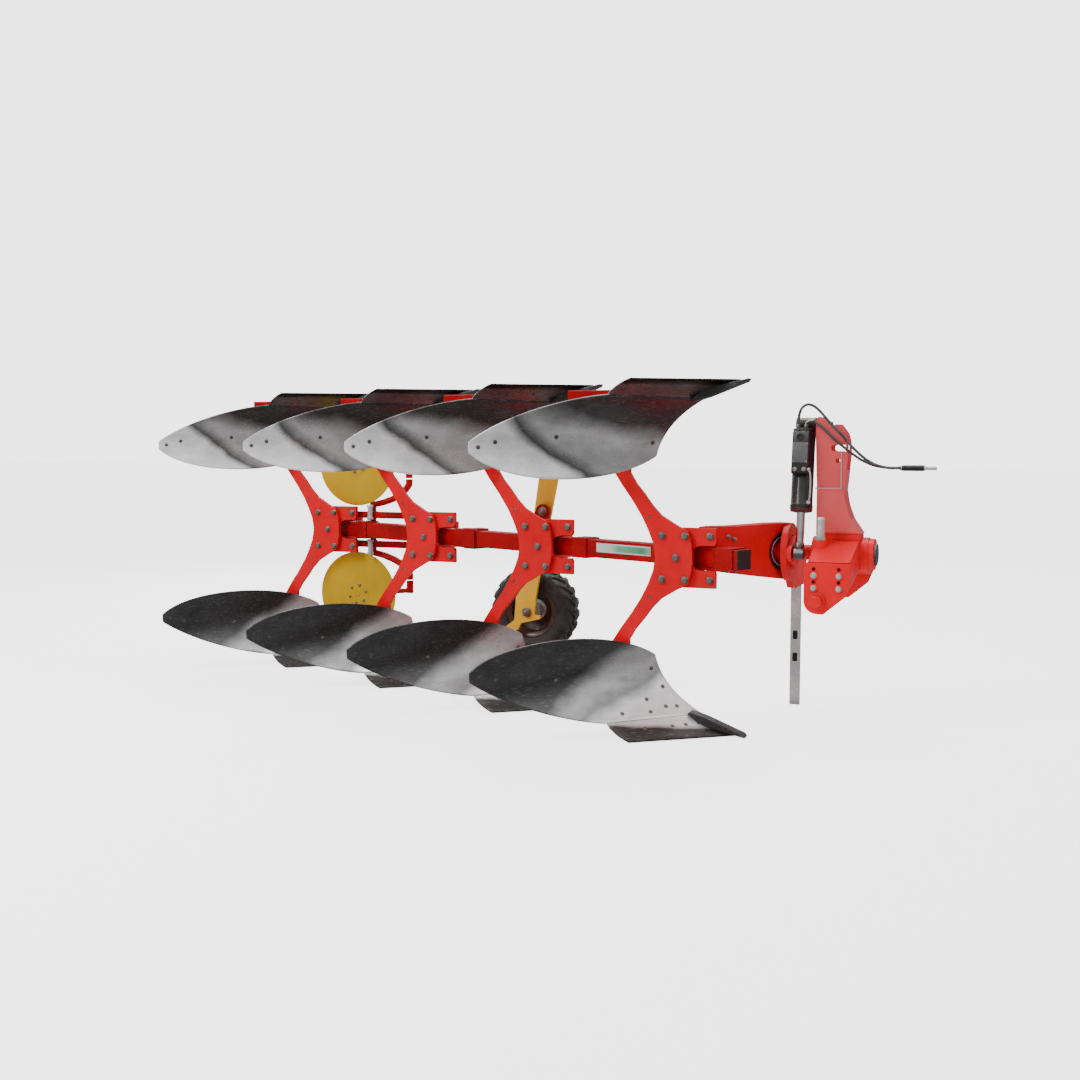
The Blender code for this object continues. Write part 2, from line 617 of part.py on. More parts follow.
def round_path(points, radius, resolution):
    """A round bar bent along a smooth curve through the points."""
    curve = bpy.data.curves.new("path", "CURVE")
    curve.dimensions = "3D"
    curve.bevel_depth = radius
    curve.bevel_resolution = resolution
    curve.use_fill_caps = True
    spline = curve.splines.new("POLY")
    spline.points.add(len(points) - 1)
    for point, place in zip(spline.points, points):
        point.co = (*place, 1.0)
    drawing = bpy.data.objects.new("path", curve)
    bpy.context.scene.collection.objects.link(drawing)
    bpy.context.view_layer.update()
    mesh = bpy.data.meshes.new_from_object(drawing.evaluated_get(bpy.context.evaluated_depsgraph_get()))
    bpy.data.objects.remove(drawing)
    bpy.data.curves.remove(curve)
    work = bmesh.new()
    work.from_mesh(mesh)
    bpy.data.meshes.remove(mesh)
    bmesh.ops.remove_doubles(work, verts=work.verts, dist=0.00001)
    return mesh_from(work)


for name, route in HOSE_ROUTES.items():
    link(name, round_path(smooth(route, HOSE_STEPS), HOSE_RADIUS, 2), RUBBER, ORIGIN)
    end = Vector(route[-1]) + Vector((3 * GAP, 0, 0))
    grip = bar(end, end + Vector((GRIP_LENGTH, 0, 0)), 0.014, 12)
    nipple = bar(end + Vector((GRIP_LENGTH - 0.005, 0, 0)), end + Vector((COUPLING_LENGTH, 0, 0)), 0.009, 12)
    link(name.replace("hose", "coupling"), combine(grip, [nipple]), GALVANISED, ORIGIN)


# ---------------------------------------------------------------- parking stand

stand = block((STAND_SECTION[0], STAND_SECTION[1], 0.880), (STAND_X, STAND_Y, -BEAM_HEIGHT + 0.440))
stand_pin_holes = [block((0.028, 0.10, 0.052), (STAND_X, STAND_Y, z)) for z in (-0.52, -0.65)]
link("parking_stand", combine(stand, stand_pin_holes, "DIFFERENCE"), GALVANISED, ORIGIN)


# ---------------------------------------------------------------- depth wheel

ARM_Y = WHEEL_PIVOT[1]
ARM_THICKNESS_Y = 0.022


def wheel_bracket():
    """The red bracket on the beam's left side that holds the depth wheel's arm on its pin."""
    foot = along_beam(-1.060, -1.135, 0.024, 0.150)
    foot.transform(Matrix.Translation((0, BEAM_SIZE / 2 / BEAM_COS + 0.0142, 0)))
    pivot = WHEEL_PIVOT[::2]
    outline = [(-1.110, 0.056), (-1.062, 0.056), (-1.047, 0.100), (-1.000, 0.160)]
    outline += ring(pivot, 0.045, 5, 0.0, math.pi) + [(-1.120, 0.150)]
    post = sheet([outline], 0.024, 0.092)
    pin_end = ARM_Y - ARM_THICKNESS_Y / 2 - 0.001
    pin = bar((pivot[0], 0.100, pivot[1]), (pivot[0], pin_end, pivot[1]), 0.022, 16)
    return combine(foot, [post, pin])


def wheel_arm():
    """The yellow flat arm, pinned at the bracket, with the stub axle and a scraper at its foot."""
    hub_x, hub_y, hub_z = WHEEL_HUB
    outline = [(-0.960, 0.400), (-1.084, 0.400), (-1.183, -0.271), (-1.239, -0.345), (-1.250, -0.490),
               (-1.312, -0.537), (-1.305, -0.562), (-1.228, -0.550), (-1.205, -0.508), (-1.080, -0.476),
               (-1.078, -0.455), (-1.117, -0.450), (-1.106, -0.339), (-1.084, -0.216)]
    strap = sheet([outline], ARM_THICKNESS_Y, ARM_Y - ARM_THICKNESS_Y / 2)
    axle = bar((hub_x, ARM_Y, hub_z), (hub_x, hub_y + 0.03, hub_z), 0.024, 20)
    return combine(strap, [axle])


def wheel_rim():
    """The dished rim and its hub, bored for the stub axle."""
    profile = [(0.0305, -0.085), (0.046, -0.085), (0.050, -0.040), (0.118, -0.020), (0.133, -0.070),
               (RIM_RADIUS, -0.080), (RIM_RADIUS, 0.080), (0.135, 0.072), (0.122, 0.000), (0.060, -0.018),
               (0.055, 0.040), (0.0305, 0.040)]
    return turned(profile, WHEEL_HUB, 22)


def turned(profile, centre, steps):
    """A ring turned about the cross axis through its centre: the profile is (radius, across)."""
    outline = bpy.data.meshes.new("profile")
    count = len(profile)
    outline.from_pydata([(radius, across, 0.0) for radius, across in profile],
                        [(k, (k + 1) % count) for k in range(count)], [])
    drawing = bpy.data.objects.new("profile", outline)
    bpy.context.scene.collection.objects.link(drawing)
    screw = drawing.modifiers.new("turn", "SCREW")
    screw.axis = "Y"
    screw.steps = steps
    screw.render_steps = steps
    screw.use_merge_vertices = True
    screw.merge_threshold = 0.0001
    bpy.context.view_layer.update()
    mesh = bpy.data.meshes.new_from_object(drawing.evaluated_get(bpy.context.evaluated_depsgraph_get()))
    bpy.data.objects.remove(drawing)
    bpy.data.meshes.remove(outline)
    work = bmesh.new()
    work.from_mesh(mesh)
    bpy.data.meshes.remove(mesh)
    bmesh.ops.remove_doubles(work, verts=work.verts, dist=0.0001)
    bmesh.ops.translate(work, vec=centre, verts=work.verts)
    return mesh_from(work)


def tyre():
    """The tyre's plain outer shape."""
    r, half = WHEEL_RADIUS, WHEEL_WIDTH / 2
    inner = RIM_RADIUS + 0.0005
    profile = [(inner, -0.075), (0.195, -half * 0.92), (0.235, -half), (r - 0.010, -half * 0.85),
               (r, -half * 0.5), (r, half * 0.5), (r - 0.010, half * 0.85), (0.235, half),
               (0.195, half * 0.92), (inner, 0.075)]
    return turned(profile, WHEEL_HUB, 22)


link("wheel_bracket", wheel_bracket(), RED, ORIGIN)
link("wheel_arm", wheel_arm(), YELLOW, WHEEL_SWING)
link("wheel_rim", wheel_rim(), RIM_PAINT, WHEEL_SPIN)
link("wheel_tyre", tyre(), RUBBER, WHEEL_SPIN)


# ---------------------------------------------------------------- disc coulters

COULTER_Y = 0.748
SHAFT_X = -2.584
STUB_X = -2.300
STUB_Z = 0.345
COULTER_BAR_Z = 0.100


def coulter_frame():
    """The two bars from the last console forward, the shaft beside the beam and its curved arms."""
    rear, front = -2.755 + GAP, -2.020
    bars = [block((front - rear, 0.030, 0.045), ((front + rear) / 2, 0.675, side * COULTER_BAR_Z))
            for side in (-1, 1)]
    feet = [block((0.060, 0.100, 0.044), (SHAFT_X, COULTER_Y - 0.040, side * COULTER_BAR_Z))
            for side in (-1, 1)]
    shaft = bar((SHAFT_X, COULTER_Y, -0.185), (SHAFT_X, COULTER_Y, 0.185), 0.022, 14)
    arms = []
    for side in (-1, 1):
        route = smooth([(SHAFT_X - 0.01, COULTER_Y, side * 0.165), (SHAFT_X + 0.09, COULTER_Y, side * 0.185),
                        (STUB_X - 0.07, COULTER_Y, side * 0.235), (STUB_X, COULTER_Y, side * 0.310)], 2)
        route.append((STUB_X, COULTER_Y, side * STUB_Z))
        arms.append(round_path(route, 0.024, 1))
    return combine(bars[0], [bars[1]] + feet + [shaft] + arms)


def coulter_arm():
    """The trailing arm of the lower disc, from the swivel stub to the disc's axle."""
    x, y, z = DISC_HUB
    top = -STUB_Z - 0.004
    turn = top - 0.070
    swivel = bar((STUB_X, COULTER_Y, top - 0.004), (STUB_X, COULTER_Y, turn - 0.018), 0.024, 12)
    trail = bar((STUB_X, COULTER_Y, turn), (x, COULTER_Y, z), 0.017, 10)
    axle = bar((x, COULTER_Y + 0.020, z), (x, y + 0.0126, z), 0.026, 14)
    return combine(swivel, [trail, axle])


def coulter_disc():
    """The flat coulter disc with its hub."""
    x, y, z = DISC_HUB
    disc = bar((x, y - 0.003, z), (x, y + 0.003, z), DISC_RADIUS, 36)
    hub = bar((x, y - 0.012, z), (x, y + 0.0123, z), 0.040, 16)
    return combine(disc, [hub])


link("coulter_frame", coulter_frame(), RED, ORIGIN)
link("coulter_arm_lower", coulter_arm(), RED, ORIGIN)
link("coulter_arm_upper", mirrored(coulter_arm()), RED, ORIGIN)
link("coulter_disc_lower", coulter_disc(), MUSTARD, LOWER_DISC_SPIN)
link("coulter_disc_upper", mirrored(coulter_disc()), MUSTARD, UPPER_DISC_SPIN)
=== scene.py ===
import math

import bmesh
import bpy
from mathutils import Matrix, Vector


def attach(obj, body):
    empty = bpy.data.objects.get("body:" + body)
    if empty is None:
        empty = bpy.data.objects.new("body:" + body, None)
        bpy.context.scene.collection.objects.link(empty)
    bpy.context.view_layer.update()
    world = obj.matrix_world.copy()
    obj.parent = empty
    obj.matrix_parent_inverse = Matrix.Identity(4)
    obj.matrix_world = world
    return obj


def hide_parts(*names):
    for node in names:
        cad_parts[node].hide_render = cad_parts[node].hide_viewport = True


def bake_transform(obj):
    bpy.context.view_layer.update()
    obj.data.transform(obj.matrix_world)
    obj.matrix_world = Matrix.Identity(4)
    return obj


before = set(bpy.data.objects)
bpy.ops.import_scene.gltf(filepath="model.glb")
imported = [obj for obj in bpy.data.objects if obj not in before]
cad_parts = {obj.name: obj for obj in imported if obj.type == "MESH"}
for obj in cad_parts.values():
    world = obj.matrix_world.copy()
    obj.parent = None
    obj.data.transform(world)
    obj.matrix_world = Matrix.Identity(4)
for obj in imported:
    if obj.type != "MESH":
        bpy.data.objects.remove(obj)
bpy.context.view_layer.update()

# ---------------------------------------------------------------- camera, floor and light
# The plough is drawn around its turnover axis: X along the axis towards the tractor with 0 at the
# front leg, Y to the left, Z up from the axis. AXIS is where that point lies above the ground.

AXIS = Vector((1.38802, 0.20026, 0.931))

camera_data = bpy.data.cameras.new("camera")
camera_data.lens = 43.66
camera_data.sensor_width = 36.0
camera = bpy.data.objects.new("camera", camera_data)
bpy.context.scene.collection.objects.link(camera)
camera.location = (3.34642, -6.99094, 1.5562)
camera.rotation_euler = (math.radians(90 - 4.444), 0.0, math.radians(22.51))
bpy.context.scene.camera = camera


def fill(tree, node, inputs):
    """Link or set a shader node's inputs."""
    for name, value in inputs.items():
        if isinstance(value, bpy.types.NodeSocket):
            tree.links.new(value, node.inputs[name])
        else:
            node.inputs[name].default_value = value


def put(tree, kind, inputs=None, **settings):
    """Add a shader node, set its options and fill its inputs."""
    node = tree.nodes.new(kind)
    for name, value in settings.items():
        setattr(node, name, value)
    fill(tree, node, inputs or {})
    return node


def ramp(tree, fac, stops):
    """A colour ramp over a value: stops are (place, grey or colour)."""
    node = put(tree, "ShaderNodeValToRGB", {"Fac": fac})
    elements = node.color_ramp.elements
    while len(elements) < len(stops):
        elements.new(0.5)
    for element, (place, colour) in zip(elements, stops):
        element.position = place
        element.color = (*colour, 1.0) if isinstance(colour, tuple) else (colour, colour, colour, 1.0)
    return node.outputs["Color"]


FLOOR_HALF = 60.0
floor_mesh = bpy.data.meshes.new("floor")
floor_mesh.from_pydata([(-FLOOR_HALF, -FLOOR_HALF, 0), (FLOOR_HALF, -FLOOR_HALF, 0),
                        (FLOOR_HALF, FLOOR_HALF, 0), (-FLOOR_HALF, FLOOR_HALF, 0)], [], [(0, 1, 2, 3)])
floor = bpy.data.objects.new("floor", floor_mesh)
bpy.context.scene.collection.objects.link(floor)
floor_finish = bpy.data.materials.new("studio_floor")
floor_finish.use_nodes = True
tree = floor_finish.node_tree
rays = put(tree, "ShaderNodeLightPath")
pale = tree.nodes["Principled BSDF"]
fill(tree, pale, {"Base Color": (0.86, 0.86, 0.86, 1.0), "Roughness": 0.9})
glow = put(tree, "ShaderNodeEmission", {"Color": (1.0, 1.0, 1.0, 1.0), "Strength": 2.6})
lit = put(tree, "ShaderNodeAddShader", {0: pale.outputs[0], 1: glow.outputs[0]})
for_eye = put(tree, "ShaderNodeMixShader", {0: rays.outputs["Is Camera Ray"], 1: pale.outputs[0],
                                            2: lit.outputs[0]})
dark_card = put(tree, "ShaderNodeBsdfDiffuse", {"Color": (0.25, 0.25, 0.25, 1.0)})
seen = put(tree, "ShaderNodeMixShader", {0: rays.outputs["Is Glossy Ray"], 1: for_eye.outputs[0],
                                         2: dark_card.outputs[0]})
fill(tree, tree.nodes["Material Output"], {"Surface": seen.outputs[0]})
floor_mesh.materials.append(floor_finish)

studio = bpy.data.worlds.new("studio")
studio.use_nodes = True
tree = studio.node_tree
background = tree.nodes["Background"]
heading = put(tree, "ShaderNodeSeparateXYZ", {"Vector": put(tree, "ShaderNodeTexCoord").outputs["Generated"]})
dome = ramp(tree, heading.outputs["Z"], [(0.0, 0.05), (0.10, 0.10), (0.30, 0.55), (0.62, 1.5)])
rays = put(tree, "ShaderNodeLightPath")
plain = put(tree, "ShaderNodeMix", {0: rays.outputs["Is Glossy Ray"], "A": (0.80, 0.80, 0.80, 1.0),
                                    "B": dome}, data_type="RGBA")
pure = put(tree, "ShaderNodeMix", {0: rays.outputs["Is Camera Ray"], "A": plain.outputs["Result"],
                                   "B": (3.9, 3.9, 3.9, 1.0)}, data_type="RGBA")
fill(tree, background, {"Color": pure.outputs["Result"], "Strength": 0.9})
bpy.context.scene.world = studio


def soft_box(name, place, target, size, power):
    """A square studio lamp aimed at a point."""
    light = bpy.data.lights.new(name, "AREA")
    light.shape = "SQUARE"
    light.size = size
    light.energy = power
    lamp = bpy.data.objects.new(name, light)
    bpy.context.scene.collection.objects.link(lamp)
    lamp.location = place
    lamp.rotation_euler = (Vector(target) - Vector(place)).to_track_quat("-Z", "Y").to_euler()


soft_box("key_light", (-3.5, -6.0, 6.5), (0.0, 0.0, 0.8), 3.0, 420.0)
soft_box("top_light", (1.0, 1.5, 7.0), (0.0, 0.0, 0.8), 3.5, 260.0)
soft_box("rim_light", (-5.0, 6.0, 4.0), (0.0, 0.0, 0.8), 3.0, 200.0)

# ---------------------------------------------------------------- hoses
# Two rubber pressure hoses with steel braid inside, crimped into screwed ends on the cylinder's
# valve block. They arch over the head pin and drop past the tower to the tractor's couplings.

HOSE_RADIUS = 0.0075
HOSE_ROUTES = {
    "hose_front": [(0.528, -0.088, 0.672), (0.529, -0.090, 0.718), (0.534, -0.096, 0.757),
                   (0.550, -0.104, 0.789), (0.582, -0.110, 0.806), (0.617, -0.111, 0.795),
                   (0.650, -0.110, 0.766), (0.688, -0.108, 0.722), (0.736, -0.106, 0.672),
                   (0.782, -0.106, 0.622), (0.827, -0.107, 0.571), (0.888, -0.109, 0.517),
                   (0.946, -0.111, 0.485), (1.006, -0.112, 0.470), (1.045, -0.112, 0.469),
                   (1.075, -0.112, 0.469)],
    "hose_rear": [(0.567, -0.088, 0.672), (0.572, -0.089, 0.697), (0.587, -0.090, 0.716),
                  (0.611, -0.091, 0.716), (0.640, -0.091, 0.698), (0.676, -0.091, 0.664),
                  (0.720, -0.090, 0.622), (0.766, -0.088, 0.582), (0.812, -0.084, 0.546),
                  (0.868, -0.079, 0.508), (0.930, -0.075, 0.481), (0.996, -0.073, 0.470),
                  (1.045, -0.073, 0.469), (1.075, -0.073, 0.469)],
}


def noise(tree, place, scale, detail=4.0, roughness=0.55, stretch=None):
    """Fractal noise at a place, stretched along chosen axes."""
    if stretch:
        place = put(tree, "ShaderNodeMapping", {"Vector": place, "Scale": stretch}).outputs["Vector"]
    return put(tree, "ShaderNodeTexNoise", {"Vector": place, "Scale": scale, "Detail": detail,
                                            "Roughness": roughness}).outputs["Fac"]


def math_of(tree, operation, a, b, clamp=False):
    return put(tree, "ShaderNodeMath", {0: a, 1: b}, operation=operation, use_clamp=clamp).outputs[0]


def times(tree, a, b, clamp=False):
    return math_of(tree, "MULTIPLY", a, b, clamp)


def plus(tree, a, b, clamp=False):
    return math_of(tree, "ADD", a, b, clamp)


def spread(tree, value, low, high, to_low=0.0, to_high=1.0):
    """A value stretched from one range to another, and held to it."""
    return put(tree, "ShaderNodeMapRange", {"Value": value, "From Min": low, "From Max": high,
                                            "To Min": to_low, "To Max": to_high}).outputs["Result"]


def blend_colour(tree, mask, first, second, how="MIX"):
    return put(tree, "ShaderNodeMix", {0: mask, "A": first, "B": second}, data_type="RGBA",
               blend_type=how).outputs["Result"]


def bump(tree, height, distance, strength, normal=None):
    node = put(tree, "ShaderNodeBump", {"Height": height, "Distance": distance, "Strength": strength})
    if normal is not None:
        tree.links.new(normal, node.inputs["Normal"])
    return node.outputs["Normal"]


def smooth(points, steps):
    """A Catmull-Rom curve through the points, from the first to the last."""
    ends = [Vector(points[0])] + [Vector(p) for p in points] + [Vector(points[-1])]
    line = []
    for k in range(len(points) - 1):
        p0, p1, p2, p3 = ends[k:k + 4]
        for j in range(steps):
            t = j / steps
            line.append(0.5 * (2 * p1 + (p2 - p0) * t + (2 * p0 - 5 * p1 + 4 * p2 - p3) * t * t
                               + (3 * p1 - p0 - 3 * p2 + p3) * t ** 3))
    line.append(Vector(points[-1]))
    return line


def made(drawn, modifiers=()):
    """The mesh that a curve, or a mesh with its modifiers, comes out as."""
    holder = bpy.data.objects.new("drawn", drawn)
    bpy.context.scene.collection.objects.link(holder)
    for kind, settings in modifiers:
        modifier = holder.modifiers.new(kind.lower(), kind)
        for name, value in settings.items():
            setattr(modifier, name, value)
    bpy.context.view_layer.update()
    mesh = bpy.data.meshes.new_from_object(holder.evaluated_get(bpy.context.evaluated_depsgraph_get()))
    bpy.data.objects.remove(holder)
    return mesh


def tube_mesh(paths, radius, resolution=3, ripple=None):
    """Round tubes along paths, as one mesh. A ripple gives each point its own share of the radius."""
    curve = bpy.data.curves.new("tube", "CURVE")
    curve.dimensions = "3D"
    curve.bevel_depth = radius
    curve.bevel_resolution = resolution
    curve.use_fill_caps = True
    for path in paths:
        spline = curve.splines.new("POLY")
        spline.points.add(len(path) - 1)
        for number, (point, place) in enumerate(zip(spline.points, path)):
            point.co = (*place, 1.0)
            point.radius = ripple(number) if ripple else 1.0
    return made(curve)


def gathered_mesh(parts):
    """One mesh from several, each with its placing."""
    work = bmesh.new()
    for mesh, placing in parts:
        copy = mesh.copy()
        copy.transform(placing)
        work.from_mesh(copy)
        bpy.data.meshes.remove(copy)
    mesh = bpy.data.meshes.new("shape")
    work.to_mesh(mesh)
    work.free()
    return mesh


def show(name, shape, material, body=None, sharp=35.0):
    """Put a shape drawn around the turnover axis in its place and let it ride on a body. The shape is
    one mesh, or a list of meshes, each with its placing."""
    mesh = gathered_mesh(shape) if isinstance(shape, list) else shape
    mesh.name = name
    mesh.materials.clear()
    mesh.materials.append(material)
    mesh.transform(Matrix.Translation(AXIS))
    mesh.shade_smooth()
    mesh.set_sharp_from_angle(angle=math.radians(sharp))
    piece = bpy.data.objects.new(name, mesh)
    bpy.context.scene.collection.objects.link(piece)
    if body:
        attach(piece, body)
    return piece


def new_finish(name):
    """A new material: itself, its nodes, its shader, and the place on the object that patterns follow."""
    material = bpy.data.materials.new(name)
    material.use_nodes = True
    tree = material.node_tree
    return material, tree, tree.nodes["Principled BSDF"], put(tree, "ShaderNodeTexCoord").outputs["Object"]


hose_skin, tree, shader, where = new_finish("hose_skin")
wrap = put(tree, "ShaderNodeTexWave", {"Vector": where, "Scale": 140.0, "Distortion": 1.5, "Detail": 2.0})
chalk = spread(tree, noise(tree, where, 22.0, 6.0), 0.40, 0.75)
worn_rubber = blend_colour(tree, chalk, (0.040, 0.040, 0.041, 1.0), (0.115, 0.112, 0.108, 1.0))
fill(tree, shader, {"Base Color": worn_rubber, "Roughness": spread(tree, chalk, 0.0, 1.0, 0.38, 0.60),
                    "Normal": bump(tree, wrap.outputs["Fac"], 0.0002, 0.15)})

ELBOW_POINTS = 2                       # the rear hose leaves the block through a steel elbow
for name, route in HOSE_ROUTES.items():
    line = smooth(route[ELBOW_POINTS:] if name == "hose_rear" else route, 5)
    hose = show("rubber_" + name, tube_mesh([line], HOSE_RADIUS, 3), hose_skin)
    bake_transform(hose)
    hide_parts(name)

# ---------------------------------------------------------------- frame, legs and consoles
# A square tube beam with welded sleeves, flame-cut bow plates for legs, and a clamp plate behind
# each. Every leg is held by five bolts and its console by two more, all through hardened washers.

def effect(name, wants, gives):
    """An empty node group with named inputs (float sockets, or colours) and named outputs."""
    group = bpy.data.node_groups.new(name, "ShaderNodeTree")
    for sockets, side in ((wants, "INPUT"), (gives, "OUTPUT")):
        for label, kind in sockets.items():
            group.interface.new_socket(label, in_out=side, socket_type="NodeSocket" + kind)
    return group, group.nodes.new("NodeGroupInput").outputs, group.nodes.new("NodeGroupOutput")


# Edges: paint rubs off where two faces meet, in broken patches, and the edge itself is rounded.
EDGE_WEAR, given, out = effect("edge_wear", {"Width": "Float", "Amount": "Float", "Scale": "Float"},
                               {"Mask": "Float", "Normal": "Vector"})
rounded = put(EDGE_WEAR, "ShaderNodeBevel", {"Radius": given["Width"]}, samples=4)
facing = put(EDGE_WEAR, "ShaderNodeNewGeometry")
agree = put(EDGE_WEAR, "ShaderNodeVectorMath", {0: rounded.outputs[0], 1: facing.outputs["Normal"]},
            operation="DOT_PRODUCT").outputs["Value"]
near_edge = spread(EDGE_WEAR, agree, 0.985, 0.86)
where = put(EDGE_WEAR, "ShaderNodeTexCoord").outputs["Object"]
patches = noise(EDGE_WEAR, where, given["Scale"], 6.0, 0.65)
broken = spread(EDGE_WEAR, patches, 0.50, 0.62)
worn = times(EDGE_WEAR, times(EDGE_WEAR, near_edge, broken), given["Amount"], True)
fill(EDGE_WEAR, out, {"Mask": worn, "Normal": rounded.outputs[0]})

# Corners: a mask of where pieces meet and shut out light, used as painted shade and as the dust, oil and soil
# that gather there.
CORNER_SHADE_AND_DIRT, given, out = effect("corner_shade_and_dirt", {"Reach": "Float", "Amount": "Float"}, {"Mask": "Float"})
shut = put(CORNER_SHADE_AND_DIRT, "ShaderNodeAmbientOcclusion", {"Distance": given["Reach"]}, samples=4)
closed = math_of(CORNER_SHADE_AND_DIRT, "SUBTRACT", 1.0, shut.outputs["AO"])
where = put(CORNER_SHADE_AND_DIRT, "ShaderNodeTexCoord").outputs["Object"]
uneven = spread(CORNER_SHADE_AND_DIRT, noise(CORNER_SHADE_AND_DIRT, where, 14.0), 0.3, 0.7, 0.5, 1.0)
gathered = times(CORNER_SHADE_AND_DIRT, times(CORNER_SHADE_AND_DIRT, closed, uneven), given["Amount"], True)
fill(CORNER_SHADE_AND_DIRT, out, {"Mask": gathered})

# Dust: a thin pale film on what faces up, thicker in blotches.
DUST_FILM, given, out = effect("dust_film", {"Amount": "Float", "Scale": "Float"}, {"Mask": "Float"})
facing = put(DUST_FILM, "ShaderNodeNewGeometry").outputs["Normal"]
up = put(DUST_FILM, "ShaderNodeSeparateXYZ", {"Vector": facing})
upward = spread(DUST_FILM, up.outputs["Z"], 0.1, 1.0, 0.12, 1.0)
where = put(DUST_FILM, "ShaderNodeTexCoord").outputs["Object"]
blotches = spread(DUST_FILM, noise(DUST_FILM, where, given["Scale"], 7.0, 0.6), 0.35, 0.75)
film = times(DUST_FILM, times(DUST_FILM, upward, blotches), given["Amount"], True)
fill(DUST_FILM, out, {"Mask": film})

# Orange peel: the fine waves that a sprayed coat dries with, and the cast or rolled skin below it.
SPRAYED_SKIN, given, out = effect("sprayed_skin", {"Peel": "Float", "Skin": "Float"}, {"Height": "Float"})
where = put(SPRAYED_SKIN, "ShaderNodeTexCoord").outputs["Object"]
peel = times(SPRAYED_SKIN, noise(SPRAYED_SKIN, where, 420.0, 2.0), given["Peel"])
skin = times(SPRAYED_SKIN, noise(SPRAYED_SKIN, where, 38.0, 5.0), given["Skin"])
fill(SPRAYED_SKIN, out, {"Height": plus(SPRAYED_SKIN, peel, skin)})

# Scratches: fine straight marks along one axis.
SCRATCHES, given, out = effect("scratches", {"Along": "Vector", "Scale": "Float", "Amount": "Float"},
                               {"Mask": "Float"})
where = put(SCRATCHES, "ShaderNodeTexCoord").outputs["Object"]
lined = noise(SCRATCHES, where, given["Scale"], 3.0, 0.6, given["Along"])
fine = spread(SCRATCHES, lined, 0.56, 0.64)
fill(SCRATCHES, out, {"Mask": times(SCRATCHES, fine, given["Amount"], True)})


def use(tree, group, **inputs):
    """Place an effect in a finish with its own values."""
    placed = put(tree, "ShaderNodeGroup", node_tree=group)
    fill(tree, placed, {name.title(): value for name, value in inputs.items()})
    return placed.outputs


def painted(name, colour, deep, bare=(0.30, 0.27, 0.25), roughness=0.30, wear=0.8, shade_and_dirt_amount=0.7, dust=0.15,
            coat=0.25, edge=0.004, specular=0.5):
    """A sprayed finish: patchy colour, worn edges, corners painted dark as shade and grime, and a film of
    dust.
    """
    material, tree, shader, where = new_finish(name)
    tone = spread(tree, noise(tree, where, 2.6, 6.0, 0.6), 0.30, 0.72)
    body = blend_colour(tree, tone, (*colour, 1.0), (*deep, 1.0))
    rubbed = use(tree, EDGE_WEAR, width=edge, amount=wear, scale=26.0)
    shade_and_dirt_mask = use(tree, CORNER_SHADE_AND_DIRT, reach=0.05, amount=shade_and_dirt_amount)["Mask"]
    filmed = use(tree, DUST_FILM, amount=dust, scale=5.0)["Mask"]
    # The corners are painted dark: painted shade, and the grime that gathers there.
    shade_and_grime = (deep[0] * 0.22, deep[1] * 0.30 + 0.004, deep[2] * 0.30 + 0.003, 1.0)
    body = blend_colour(tree, shade_and_dirt_mask, body, shade_and_grime)
    body = blend_colour(tree, filmed, body, (0.42, 0.26, 0.20, 1.0))
    body = blend_colour(tree, rubbed["Mask"], body, (*bare, 1.0))
    patchy = spread(tree, noise(tree, where, 9.0, 5.0), 0.3, 0.7, roughness - 0.06, roughness + 0.12)
    dull = plus(tree, patchy, times(tree, plus(tree, filmed, shade_and_dirt_mask), 0.35), True)
    height = use(tree, SPRAYED_SKIN, peel=0.25, skin=0.9)["Height"]
    fill(tree, shader, {"Base Color": body, "Roughness": dull,
                        "Normal": bump(tree, height, 0.0006, 0.5, rubbed["Normal"]),
                        "Specular IOR Level": specular, "Coat Weight": coat, "Coat Roughness": 0.12})
    return material


def bare_metal(name, light, dark, roughness=(0.22, 0.45), along=(1.0, 1.0, 1.0), scratch=0.5, shade_and_dirt_amount=0.5,
               edge=0.0015, metallic=1.0, mottle=4.0):
    """Unpainted metal: mottled grey, scratched along its work, darker in its corners as painted shade and
    dirt.
    """
    material, tree, shader, where = new_finish(name)
    clouds = spread(tree, noise(tree, where, mottle, 7.0, 0.62), 0.32, 0.70)
    body = blend_colour(tree, clouds, (*light, 1.0), (*dark, 1.0))
    shade_and_dirt_mask = use(tree, CORNER_SHADE_AND_DIRT, reach=0.03, amount=shade_and_dirt_amount)["Mask"]
    # The corners are painted dark: painted shade, and dirt.
    body = blend_colour(tree, shade_and_dirt_mask, body, (dark[0] * 0.25, dark[1] * 0.23, dark[2] * 0.22, 1.0))
    marks = use(tree, SCRATCHES, along=along, scale=30.0, amount=scratch)["Mask"]
    bright = (min(1.0, light[0] * 1.25), min(1.0, light[1] * 1.25), light[2] * 1.22, 1.0)
    body = blend_colour(tree, marks, body, bright)
    rough = spread(tree, noise(tree, where, mottle * 2.3, 6.0, 0.6), 0.30, 0.70, *roughness)
    rounded = use(tree, EDGE_WEAR, width=edge, amount=0.0, scale=20.0)["Normal"]
    fine = plus(tree, marks, noise(tree, where, 90.0, 3.0))
    fill(tree, shader, {"Base Color": body, "Metallic": metallic,
                        "Roughness": plus(tree, rough, times(tree, shade_and_dirt_mask, 0.4), True),
                        "Normal": bump(tree, fine, 0.0004, 0.35, rounded)})
    return material


FRAME_RED = painted("frame_red", (0.86, 0.001, 0.012), (0.64, 0.001, 0.007), dust=0.05, specular=0.15,
                    coat=0.06)
# The beam's red is the frame's red painted darker, as painted shade, and the parts finished with it share
# that shade.
BEAM_SHADED_RED = painted("beam_red_painted_shade", (0.50, 0.001, 0.006), (0.24, 0.001, 0.003), shade_and_dirt_amount=1.0, dust=0.05,
                   specular=0.15, coat=0.05)
BOLT_STEEL = bare_metal("bolt_steel", (0.46, 0.45, 0.42), (0.26, 0.25, 0.23), (0.28, 0.50), shade_and_dirt_amount=0.9,
                        mottle=60.0)

